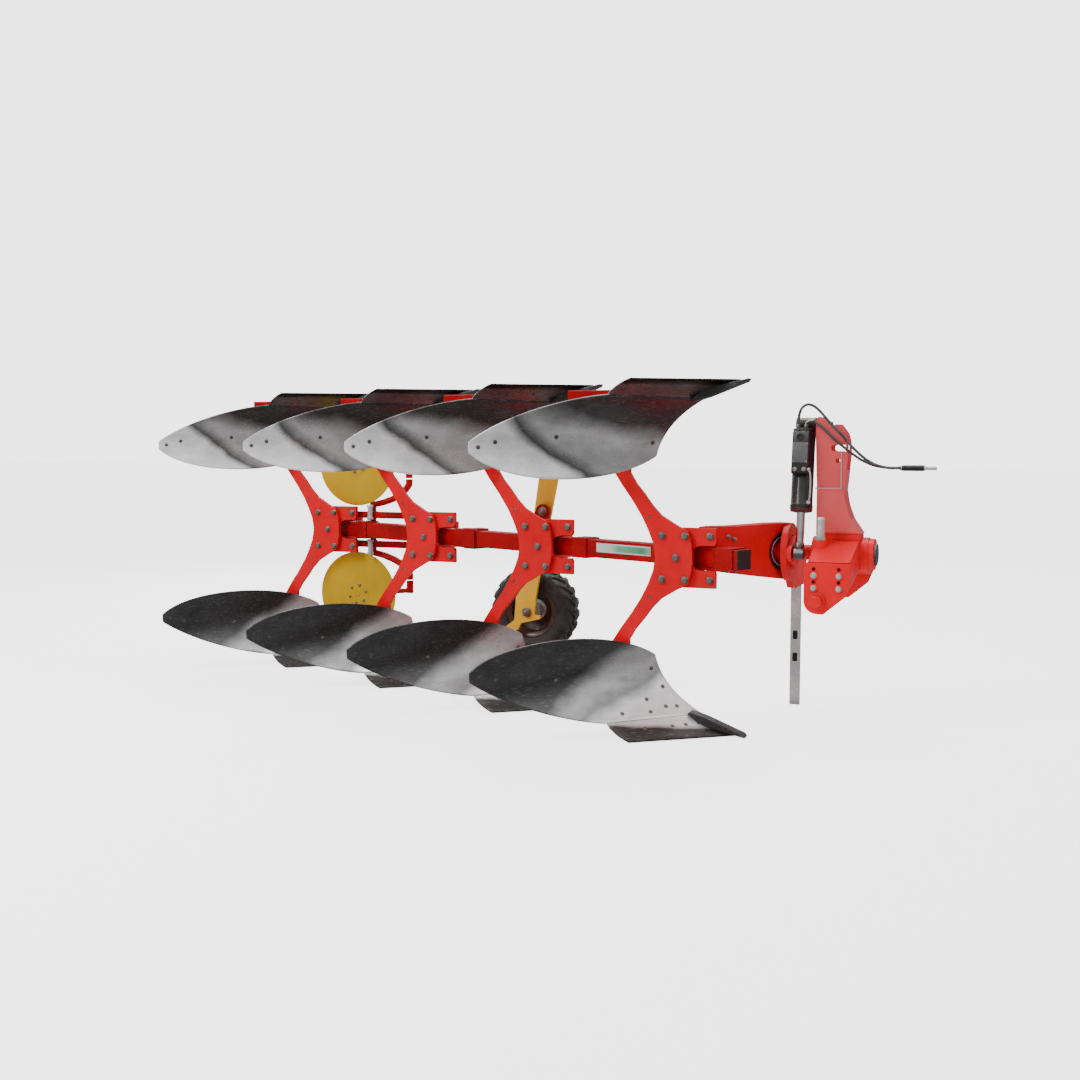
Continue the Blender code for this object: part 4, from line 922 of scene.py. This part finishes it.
# Round parts turned smooth: the bearing collar, its end cap and the two threaded tilt spindles.
COLLAR_X = 0.8500
CAP_X = 0.9356
SPINDLE_AT = Vector((0.672, 0.177, 0.0825))      # the left one, above the housing's arm
collar = turned([(0.062, -0.006), (0.080, -0.006), (0.0856, -0.002), (0.0858, 0.006), (0.0858, 0.070),
                 (0.084, 0.084), (0.081, 0.0856), (0.062, 0.0856)], 72)
show("bearing_collar", [(collar, at((COLLAR_X, 0, 0), (1, 0, 0)))], HEAD_RED, "headstock")
cap = turned([(0.0, 0.0140), (0.018, 0.0140), (0.020, 0.0125), (0.028, 0.0122), (0.052, 0.0122),
              (0.0585, 0.0105), (0.0605, 0.0070), (0.0605, -0.0005), (0.0, -0.0005)], 64)
dark_cap = bare_metal("cap_steel", (0.34, 0.34, 0.34), (0.12, 0.12, 0.12), (0.30, 0.50), shade_and_dirt_amount=0.8,
                      mottle=20.0)
end_cap = show("bearing_end_cap", [(cap, at((CAP_X, 0, 0), (1, 0, 0)))], dark_cap, "headstock")
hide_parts("bearing_cap")
thread = [(0.0235 - (0.0011 if k % 2 else 0.0), 0.004 + 0.0022 * k) for k in range(50)]
spindle = turned([(0.0, 0.0), (0.0225, 0.0)] + thread + [(0.021, 0.1185), (0.018, 0.1225), (0.0, 0.1225)], 32)
spindle_nut = hex_head(0.050, 0.018)
for side, sign in (("right", -1), ("left", 1)):
    stands = at(SPINDLE_AT * Vector((1, sign, 1)))
    screw = show(f"tilt_screw_{side}", [(spindle, stands), (spindle_nut, stands)], ZINC, "headstock",
                 sharp=25.0)
    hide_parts(f"tilt_spindle_{side}")

# Lips close the tower's front above and below the top link's slot.
upper_lip = plate([(0.750, 0.594), (0.7695, 0.594), (0.7795, 0.640), (0.740, 0.700), (0.728, 0.700),
                   (0.700, 0.690), (0.745, 0.636)], 0.0172)
lower_lip = plate([(0.752, 0.345), (0.7735, 0.345), (0.7765, 0.400), (0.7845, 0.500), (0.7885, 0.550),
                   (0.752, 0.550)], 0.0172)
upright = Matrix(((1, 0, 0, 0), (0, 0, -1, 0), (0, 1, 0, 0), (0, 0, 0, 1)))
lips = [(lip, Matrix.Translation((0, side * 0.0550 + 0.0086, 0)) @ upright) for lip in (upper_lip, lower_lip)
        for side in (-1, 1)]
show("tower_lips", lips, TOWER_SHEEN_RED, "headstock")

# Weld seams of the tower's foot and cheeks and of the link plates.
seams = [weld_line((0.628, side * 0.0712, 0.113), (0.862, side * 0.0712, 0.113)) for side in (-1, 1)]
seams += [weld_line((0.6455, side * 0.3858, -0.016), (0.8615, side * 0.3858, -0.016)) for side in (-1, 1)]
show("headstock_welds", tube_mesh(seams, 0.0045, 1, weld_ripple), HEAD_RED, "headstock",
     sharp=60.0)
# The cheek seams' pale colour is a painted highlight.
cheek_highlight_seams = [weld_line(start, end) for side in (-1, 1) for start, end in
               (((0.620, side * 0.0665, 0.3555), (0.762, side * 0.0665, 0.3555)),
                ((0.757, side * 0.0650, 0.3555), (0.757, side * 0.0650, 0.5500)))]
show("cheek_highlight_seams", tube_mesh(cheek_highlight_seams, 0.0042, 1, weld_ripple), TOWER_SEAM_HIGHLIGHT, "headstock",
     sharp=60.0)

# ---------------------------------------------------------------- turnover cylinder
# A double-acting cylinder on the tower's head pin: black barrel with a bolted valve block on its
# right side, screwed gland, ground chrome rod and a forged eye over the crank.

BARREL_X = 0.548
HEAD_Z = 0.700
CRANK_RADIUS = 0.120
PIN_DISTANCE = math.hypot(CRANK_RADIUS, HEAD_Z)
LEAN = math.asin(CRANK_RADIUS / PIN_DISTANCE)
HANGING = Matrix.Translation((BARREL_X, 0, HEAD_Z)) @ Matrix.Rotation(-LEAN, 4, "X")
finish(BLACK_COAT, "cylinder_barrel")

tube = turned([(0.0238, -0.4830), (0.044, -0.4830), (0.047, -0.4810), (0.0612, -0.4660),
               (0.0615, -0.4440), (0.0590, -0.4420), (0.0585, -0.4400), (0.0585, -0.0320),
               (0.0560, -0.0290), (0.0, -0.0290)], 72)
show("barrel_tube", [(tube, HANGING)], BLACK_COAT, "cylinder_barrel")
RED_RING = painted("gland_red", (0.16, 0.010, 0.012), (0.07, 0.005, 0.006), dust=0.2)
ring_gland = turned([(0.0590, -0.4795), (0.0590, -0.4710), (0.0622, -0.4695), (0.0622, -0.4660),
                     (0.0590, -0.4650)], 64)
show("gland_ring", [(ring_gland, HANGING)], RED_RING, "cylinder_barrel")

GREY_PANEL = painted("valve_grey", (0.15, 0.15, 0.153), (0.10, 0.10, 0.103), bare=(0.35, 0.35, 0.35),
                     roughness=0.42, coat=0.1, dust=0.2)
DARK_PANEL = painted("valve_dark_grey", (0.075, 0.075, 0.078), (0.045, 0.045, 0.048), bare=(0.35, 0.35, 0.35),
                     roughness=0.45, coat=0.1, dust=0.2)
BLOCK_FACE_Y = -0.0972
panel = slab((0.082, 0.0045, 0.112), 0.0015)
port_plate = slab((0.084, 0.0040, 0.058), 0.0015)
block_cap = slab((0.088, 0.060, 0.018), 0.004)
plug = hex_head(0.022, 0.006, washer=0.0135)
screw_head = turned([(0.0, 0.0025), (0.0028, 0.0025), (0.0030, 0.0050), (0.0062, 0.0055), (0.0068, 0.0045),
                     (0.0068, 0.0)], 20)
port = turned([(0.0, 0.0015), (0.0125, 0.0015), (0.0130, 0.0060), (0.0165, 0.0070), (0.0190, 0.0055),
               (0.0195, 0.0)], 40)


def on_block(x, lift, z, roll=0.0):
    """A placing on the valve block's face, facing away from it."""
    return HANGING @ at((x, BLOCK_FACE_Y + lift, z), (0, -1, 0), roll)


def on_barrel(x, y, z):
    return HANGING @ Matrix.Translation((x, y, z))


show("valve_panel", [(panel, on_barrel(-0.002, BLOCK_FACE_Y - 0.0015, -0.170))], GREY_PANEL,
     "cylinder_barrel")
show("valve_port_plate", [(port_plate, on_barrel(-0.002, BLOCK_FACE_Y - 0.0005, -0.084))], DARK_PANEL,
     "cylinder_barrel")
details = [(screw_head, on_block(x, -0.0035, z)) for x in (-0.036, 0.032) for z in (-0.122, -0.218)]
details += [(plug, on_block(x, 0.0002, -0.262, x * 30)) for x in (-0.026, 0.022)]
show("valve_screws", details, BOLT_STEEL, "cylinder_barrel")
show("valve_port", [(port, on_block(-0.004, -0.0020, -0.086)),
                    (block_cap, on_barrel(-0.002, -0.062, -0.046))], moulded, "cylinder_barrel")
feed_line = smooth([(0.040, -0.085, -0.262), (0.055, -0.088, -0.280), (0.058, -0.080, -0.330),
                    (0.054, -0.060, -0.400), (0.046, -0.048, -0.432)], 5)
feed = tube_mesh([feed_line], 0.005, 3)
collar_small = turned([(0.0, 0.0), (0.0105, 0.0), (0.0110, 0.002), (0.0110, 0.012), (0.0095, 0.014),
                       (0.0, 0.014)], 24)
show("feed_pipe", [(feed, HANGING),
                                 (collar_small, HANGING @ at(feed_line[-1], (-0.3, 0.6, -0.2))),
                                 (collar_small, HANGING @ at(feed_line[0], (1, 0, 0)))],
     ZINC, "cylinder_barrel")
elbow_line = smooth([(0.567, -0.088, 0.664), (0.567, -0.088, 0.684), (0.5695, -0.0884, 0.702),
                     (0.577, -0.0892, 0.712), (0.588, -0.0900, 0.7165), (0.596, -0.0903, 0.7172)], 5)
crimp = turned([(0.0, -0.012), (0.0098, -0.012), (0.0104, -0.009), (0.0104, 0.014), (0.0092, 0.018),
                (0.0, 0.018)], 28)
show("hose_elbow", [(tube_mesh([elbow_line], 0.0068, 3), Matrix()),
                    (crimp, at(elbow_line[-1], (1, 0, 0.05)))], dark_cap, "cylinder_barrel")
for name, route in HOSE_ROUTES.items():
    start = Vector(route[0])
    fitting = [(hex_head(0.022, 0.012, washer=0.013), at(start - Vector((0, 0, 0.014)))),
               (turned([(0.0, 0.0), (0.0092, 0.0), (0.0108, 0.003), (0.0112, 0.026), (0.0100, 0.030),
                        (0.0, 0.030)], 28), at(start - Vector((0, 0, 0.002)), Vector(route[1]) - start))]
    show(name.replace("hose", "hose_fitting"), fitting, dark_cap, "cylinder_barrel")

chrome, tree, shader, where = new_finish("ground_chrome")
rings = noise(tree, where, 24.0, 4.0, 0.6, (1.0, 1.0, 30.0))
film = spread(tree, noise(tree, where, 18.0, 6.0), 0.45, 0.75)
fill(tree, shader, {"Base Color": blend_colour(tree, film, (0.88, 0.88, 0.90, 1.0), (0.60, 0.59, 0.57, 1.0)),
                    "Metallic": 1.0, "Roughness": spread(tree, rings, 0.3, 0.7, 0.07, 0.17),
                    "Normal": bump(tree, rings, 0.0001, 0.2)})
stem = turned([(0.0, -0.690), (0.0225, -0.690), (0.0225, -0.310), (0.0, -0.310)], 56)
rod = show("chrome_rod", [(stem, HANGING)], chrome, "cylinder_rod")
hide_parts("cylinder_rod")
eye_ring = turned([(0.0170, -0.0262), (0.0290, -0.0262), (0.0312, -0.0240), (0.0312, 0.0240),
                   (0.0290, 0.0262), (0.0170, 0.0262), (0.0170, -0.0262)], 56)
pin_end = turned([(0.0, -0.0300), (0.0150, -0.0300), (0.0166, -0.0285), (0.0166, 0.0285),
                  (0.0150, 0.0300), (0.0, 0.0300)], 40)
neck = turned([(0.0, -0.684), (0.0255, -0.684), (0.0265, -0.676), (0.0260, -0.655), (0.0230, -0.648),
               (0.0, -0.648)], 48)
eye_at = HANGING @ at((0, 0, -PIN_DISTANCE), (1, 0, 0))
show("rod_eye", [(eye_ring, eye_at), (pin_end, eye_at), (neck, HANGING)], dark_cap, "cylinder_rod")

# ---------------------------------------------------------------- couplings
# Quick couplings on the hose ends: knurled black grips over zinc-plated nipples with a sealing ball.

knurl = [(0.0150 + (0.0007 if k % 2 else 0.0), 0.014 + 0.0034 * k) for k in range(26)]
grip = turned([(0.0080, -0.0100), (0.0102, -0.0095), (0.0110, -0.001), (0.0145, 0.004), (0.0150, 0.012)]
              + knurl + [(0.0150, 0.104), (0.0146, 0.113), (0.0125, 0.1168), (0.0, 0.1168)], 40)
nipple = turned([(0.0098, 0.116), (0.0098, 0.130), (0.0093, 0.132), (0.0093, 0.139), (0.0099, 0.141),
                 (0.0099, 0.168), (0.0093, 0.1755), (0.0070, 0.1755), (0.0, 0.1752)], 36)
for name, route in HOSE_ROUTES.items():
    end = Vector(route[-1]) + Vector((0.0009, 0, 0))
    finish(ZINC, name.replace("hose", "coupling"))
    show(name.replace("hose", "coupling_grip"), [(grip, at(end, (1, 0, 0)))], moulded, "headstock")
    show(name.replace("hose", "coupling_tip"), [(nipple, at(end, (1, 0, 0)))], ZINC, "headstock")

# ---------------------------------------------------------------- parking stand
# A zinc-plated flat bar that slides in a guide on the front arm and is held by a spring-clipped pin.
# Two oblong holes near its foot are closed with black plastic plugs.

STAND = Vector((0.432, 0.394, -0.135))
STAND_WIDTH = 0.058
STAND_THICKNESS = 0.025
STAND_LENGTH = 0.880
HOLE_HALF = Vector((0.014, 0.026))
HOLE_LEVELS = (-0.520, -0.650)
ROUNDED_CORNERS = ((-1, -0.7), (-0.7, -1), (0.7, -1), (1, -0.7), (1, 0.7), (0.7, 1), (-0.7, 1), (-1, 0.7))
half = STAND_WIDTH / 2
bar_outline = [(-half, 0.0), (half, 0.0), (half, STAND_LENGTH), (-half, STAND_LENGTH)]
holes = [[(x * HOLE_HALF.x, level + GROUND + y * HOLE_HALF.y) for x, y in ROUNDED_CORNERS]
         for level in HOLE_LEVELS]
upright_bar = Matrix(((1, 0, 0, STAND.x), (0, 0, -1, STAND.y + STAND_THICKNESS / 2), (0, 1, 0, -GROUND),
                      (0, 0, 0, 1)))
bar = plate(bar_outline, STAND_THICKNESS, 0.002, holes)
stand_bar = show("stand_bar", [(bar, upright_bar)], ZINC, "parking_stand")
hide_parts("parking_stand")
plug = slab((2 * HOLE_HALF.x - 0.0004, 0.016, 2 * HOLE_HALF.y - 0.0004), 0.002, 2)
plugs = [(plug, Matrix.Translation((STAND.x, STAND.y, level))) for level in HOLE_LEVELS]
show("stand_plugs", plugs, moulded, "parking_stand")
pin_line = smooth([(0.0, -0.070, 0.0), (0.0, 0.055, 0.0)], 2)
clip_line = smooth([(0.0, -0.058, 0.0), (0.016, -0.060, 0.004), (0.024, -0.060, -0.012),
                    (0.016, -0.060, -0.030), (-0.006, -0.060, -0.026), (-0.012, -0.060, -0.008)], 5)
pin_parts = [(tube_mesh([pin_line], 0.0065, 3), Matrix.Translation(STAND)),
             (tube_mesh([clip_line], 0.0022, 2), Matrix.Translation(STAND))]
show("stand_pin", pin_parts, ZINC, "plough_frame")

# ---------------------------------------------------------------- depth wheel
# A lugged implement tyre on a dished steel rim, on a stub axle at the foot of a yellow flat arm.

WHEEL_HUB = Vector((-1.165, 0.278, -0.438))
WHEEL_TOP = 0.257
LUG_HEIGHT = 0.013
LUGS = 21
tyre_profile = [(0.1625, -0.078), (0.168, -0.086), (0.190, -0.092), (0.215, -0.099), (0.235, -0.098),
                (0.247, -0.090), (WHEEL_TOP - 0.002, -0.070), (WHEEL_TOP, -0.030), (WHEEL_TOP, 0.030),
                (WHEEL_TOP - 0.002, 0.070), (0.247, 0.090), (0.235, 0.098), (0.215, 0.099),
                (0.190, 0.092), (0.168, 0.086), (0.1625, 0.078)]
ACROSS = Matrix.Translation(WHEEL_HUB) @ Matrix.Rotation(math.pi / 2, 4, "X")


def tread_at(across):
    """The tyre's outer radius at a place across the tread, and on down the shoulder."""
    shoulder = [(0.0, WHEEL_TOP), (0.030, WHEEL_TOP), (0.070, WHEEL_TOP - 0.002), (0.090, 0.247),
                (0.0985, 0.232)]
    for (a, ra), (b, rb) in zip(shoulder, shoulder[1:]):
        if across <= b:
            return ra + (rb - ra) * (across - a) / (b - a)
    return shoulder[-1][1]


LUG_STEPS = 7
LUG_REACH = (-0.006, 0.098)            # from just past the tread's middle to the shoulder
LUG_SWEEP = 0.30
LUG_HALF_TURN = (0.030, 0.050)


def tread_lugs():
    """Slanting bars in two rows, each following the tread from its middle down over the shoulder."""
    work = bmesh.new()
    for side in (-1, 1):
        for k in range(LUGS):
            start = 2 * math.pi * (k + (0.5 if side > 0 else 0.0)) / LUGS
            rows = []
            for j in range(LUG_STEPS + 1):
                share = j / LUG_STEPS
                across = LUG_REACH[0] + (LUG_REACH[1] - LUG_REACH[0]) * share
                half = LUG_HALF_TURN[0] + (LUG_HALF_TURN[1] - LUG_HALF_TURN[0]) * share
                base = tread_at(max(across, 0.0)) - 0.004
                top = base + 0.004 + LUG_HEIGHT * (1.0 if j < LUG_STEPS else 0.55)
                corners = ((base, -half), (top, -half * 0.72), (top, half * 0.72), (base, half))
                turns = [(radius, start + LUG_SWEEP * share + offset) for radius, offset in corners]
                rows.append([work.verts.new((radius * math.cos(turn), radius * math.sin(turn), side * across))
                             for radius, turn in turns])
            for here, there in zip(rows, rows[1:]):
                for a in range(3):
                    work.faces.new((here[a], here[a + 1], there[a + 1], there[a]))
            work.faces.new(rows[0])
            work.faces.new(rows[-1][::-1])
    return from_work(work)


tyre_rubber, tree, shader, where = new_finish("tyre_rubber")
soil = use(tree, CORNER_SHADE_AND_DIRT, reach=0.03, amount=0.9)["Mask"]
dusted = spread(tree, noise(tree, where, 12.0, 8.0, 0.65), 0.42, 0.72, 0.0, 0.6)
body = blend_colour(tree, dusted, (0.018, 0.018, 0.018, 1.0), (0.060, 0.056, 0.051, 1.0))
grain = plus(tree, noise(tree, where, 260.0, 3.0), times(tree, noise(tree, where, 30.0, 5.0), 2.0))
fill(tree, shader, {"Base Color": blend_colour(tree, soil, body, (0.090, 0.068, 0.052, 1.0)),
                    "Roughness": spread(tree, dusted, 0.0, 0.6, 0.45, 0.80),
                    "Normal": bump(tree, grain, 0.0006, 0.5)})
wall_rings = []
for radius, width in ((0.178, 0.0885), (0.205, 0.0962)):
    for side in (-1, 1):
        raised = side * (width + 0.0018)
        ring = [(radius, side * width), (radius + 0.0015, raised), (radius + 0.0035, raised),
                (radius + 0.005, side * width)]
        wall_rings.append((turned(ring, 72), ACROSS))
tyre = show("lugged_tyre", [(turned(tyre_profile, 84), ACROSS), (tread_lugs(), ACROSS)] + wall_rings,
            tyre_rubber, "depth_wheel", sharp=40.0)
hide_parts("wheel_tyre")

RIM_BROWN = painted("rim_brown", (0.075, 0.026, 0.016), (0.035, 0.014, 0.010), bare=(0.22, 0.20, 0.18),
                    roughness=0.42, dust=0.5, coat=0.15)
rim_profile = [(0.052, -0.020), (0.056, -0.026), (0.085, -0.024), (0.112, -0.016), (0.124, -0.026),
               (0.132, -0.066), (0.150, -0.078), (0.1620, -0.0805), (0.1625, -0.0765), (0.154, -0.070),
               (0.140, -0.058), (0.138, 0.060), (0.154, 0.070), (0.1625, 0.0765), (0.1620, 0.0805),
               (0.150, 0.078), (0.132, 0.066), (0.128, 0.000), (0.112, -0.010), (0.085, -0.018),
               (0.056, -0.020), (0.052, -0.020)]
rim = show("dished_rim", [(turned(rim_profile, 72), ACROSS)], RIM_BROWN, "depth_wheel")
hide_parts("wheel_rim")
hub_profile = [(0.0, -0.070), (0.022, -0.070), (0.026, -0.067), (0.028, -0.054), (0.036, -0.050),
               (0.040, -0.046), (0.042, -0.028), (0.062, -0.027), (0.064, -0.024), (0.064, -0.016),
               (0.046, -0.014), (0.044, 0.040), (0.036, 0.046), (0.0, 0.046)]
wheel_nut = hex_head(0.019, 0.011, washer=0.0, stub=0.005)
NUT_CIRCLE = 0.052
hub_parts = [(turned(hub_profile, 56), ACROSS)]
nut_turns = [2 * math.pi * k / 5 for k in range(5)]
nut_spots = [(NUT_CIRCLE * math.cos(turn), NUT_CIRCLE * math.sin(turn), -0.0265) for turn in nut_turns]
hub_parts += [(wheel_nut, ACROSS @ at(spot, (0, 0, -1))) for spot in nut_spots]
show("wheel_hub", hub_parts, ZINC, "depth_wheel")

ARM_YELLOW = painted("arm_yellow", (0.96, 0.57, 0.020), (0.82, 0.45, 0.012), bare=(0.25, 0.22, 0.18),
                     shade_and_dirt_amount=0.7, dust=0.08)
finish(ARM_YELLOW, "wheel_arm")
ARM_FACE_Y = 0.1368
axle_nut = hex_head(0.046, 0.020, washer=0.030, stub=0.006)
show("wheel_arm_bolts", [(axle_nut, at((WHEEL_HUB.x, ARM_FACE_Y, WHEEL_HUB.z), (0, -1, 0), 0.2))], BOLT_STEEL,
     "wheel_arm")
show("bracket_nut", [(hex_head(0.036, 0.018, washer=0.027, stub=0.004),
                      at((-1.045, 0.0918, 0.185), (0, -1, 0), 0.4))], BOLT_STEEL, "plough_frame")

# ---------------------------------------------------------------- disc coulters
# Flat cutting discs with a ground edge, bolted to their hubs by six bolts, painted with the hub.

DISC_HUB = Vector((-2.680, 0.697, -0.456))
BOLT_CIRCLE = 0.065
CLAMP_AT = Vector((-2.548, 0.643, 0.118))
DISC_MUSTARD = painted("disc_mustard", (0.64, 0.395, 0.001), (0.46, 0.270, 0.001),
                       bare=(0.36, 0.33, 0.28), roughness=0.42, wear=1.0, shade_and_dirt_amount=0.6, dust=0.10, coat=0.05,
                       edge=0.006, specular=0.2)
disc_profile = [(0.0, -0.0032), (0.262, -0.0032), (0.2952, -0.0008), (0.2952, 0.0008), (0.262, 0.0032),
                (0.0, 0.0032)]
hub_cap = turned([(0.0, 0.0105), (0.014, 0.0105), (0.017, 0.0090), (0.019, 0.0060), (0.084, 0.0052),
                  (0.087, 0.0040), (0.0875, 0.0030), (0.0, 0.0030)], 64)
disc_bolt = hex_head(0.017, 0.008, washer=0.0)
for level, side in (("lower", 1), ("upper", -1)):
    hub = Vector((DISC_HUB.x, DISC_HUB.y, side * DISC_HUB.z))
    facing = at(hub, (0, -1, 0))
    disc = show(f"cutting_disc_{level}", [(turned(disc_profile, 120), facing), (hub_cap, facing)],
                DISC_MUSTARD, f"coulter_disc_{level}")
    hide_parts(f"coulter_disc_{level}")
    turns = [math.pi * k / 3 + 0.3 for k in range(6)]
    spots = [(BOLT_CIRCLE * math.cos(turn), BOLT_CIRCLE * math.sin(turn), 0.0052) for turn in turns]
    circle = [(disc_bolt, facing @ at(spot, roll=k)) for k, spot in enumerate(spots)]
    show(f"disc_bolts_{level}", circle, BOLT_STEEL, f"coulter_disc_{level}")

# Two plated clamp bolts hold the coulters' upright shaft to its bars.
clamp = turned([(0.0, -0.052), (0.020, -0.052), (0.022, -0.049), (0.022, -0.034), (0.0175, -0.032),
                (0.0175, 0.032), (0.022, 0.034), (0.022, 0.049), (0.020, 0.052), (0.0, 0.052)], 40)
show("clamp_bolts", [(clamp, Matrix.Translation(CLAMP_AT * Vector((1, 1, side)))) for side in (-1, 1)], ZINC,
     "plough_frame")
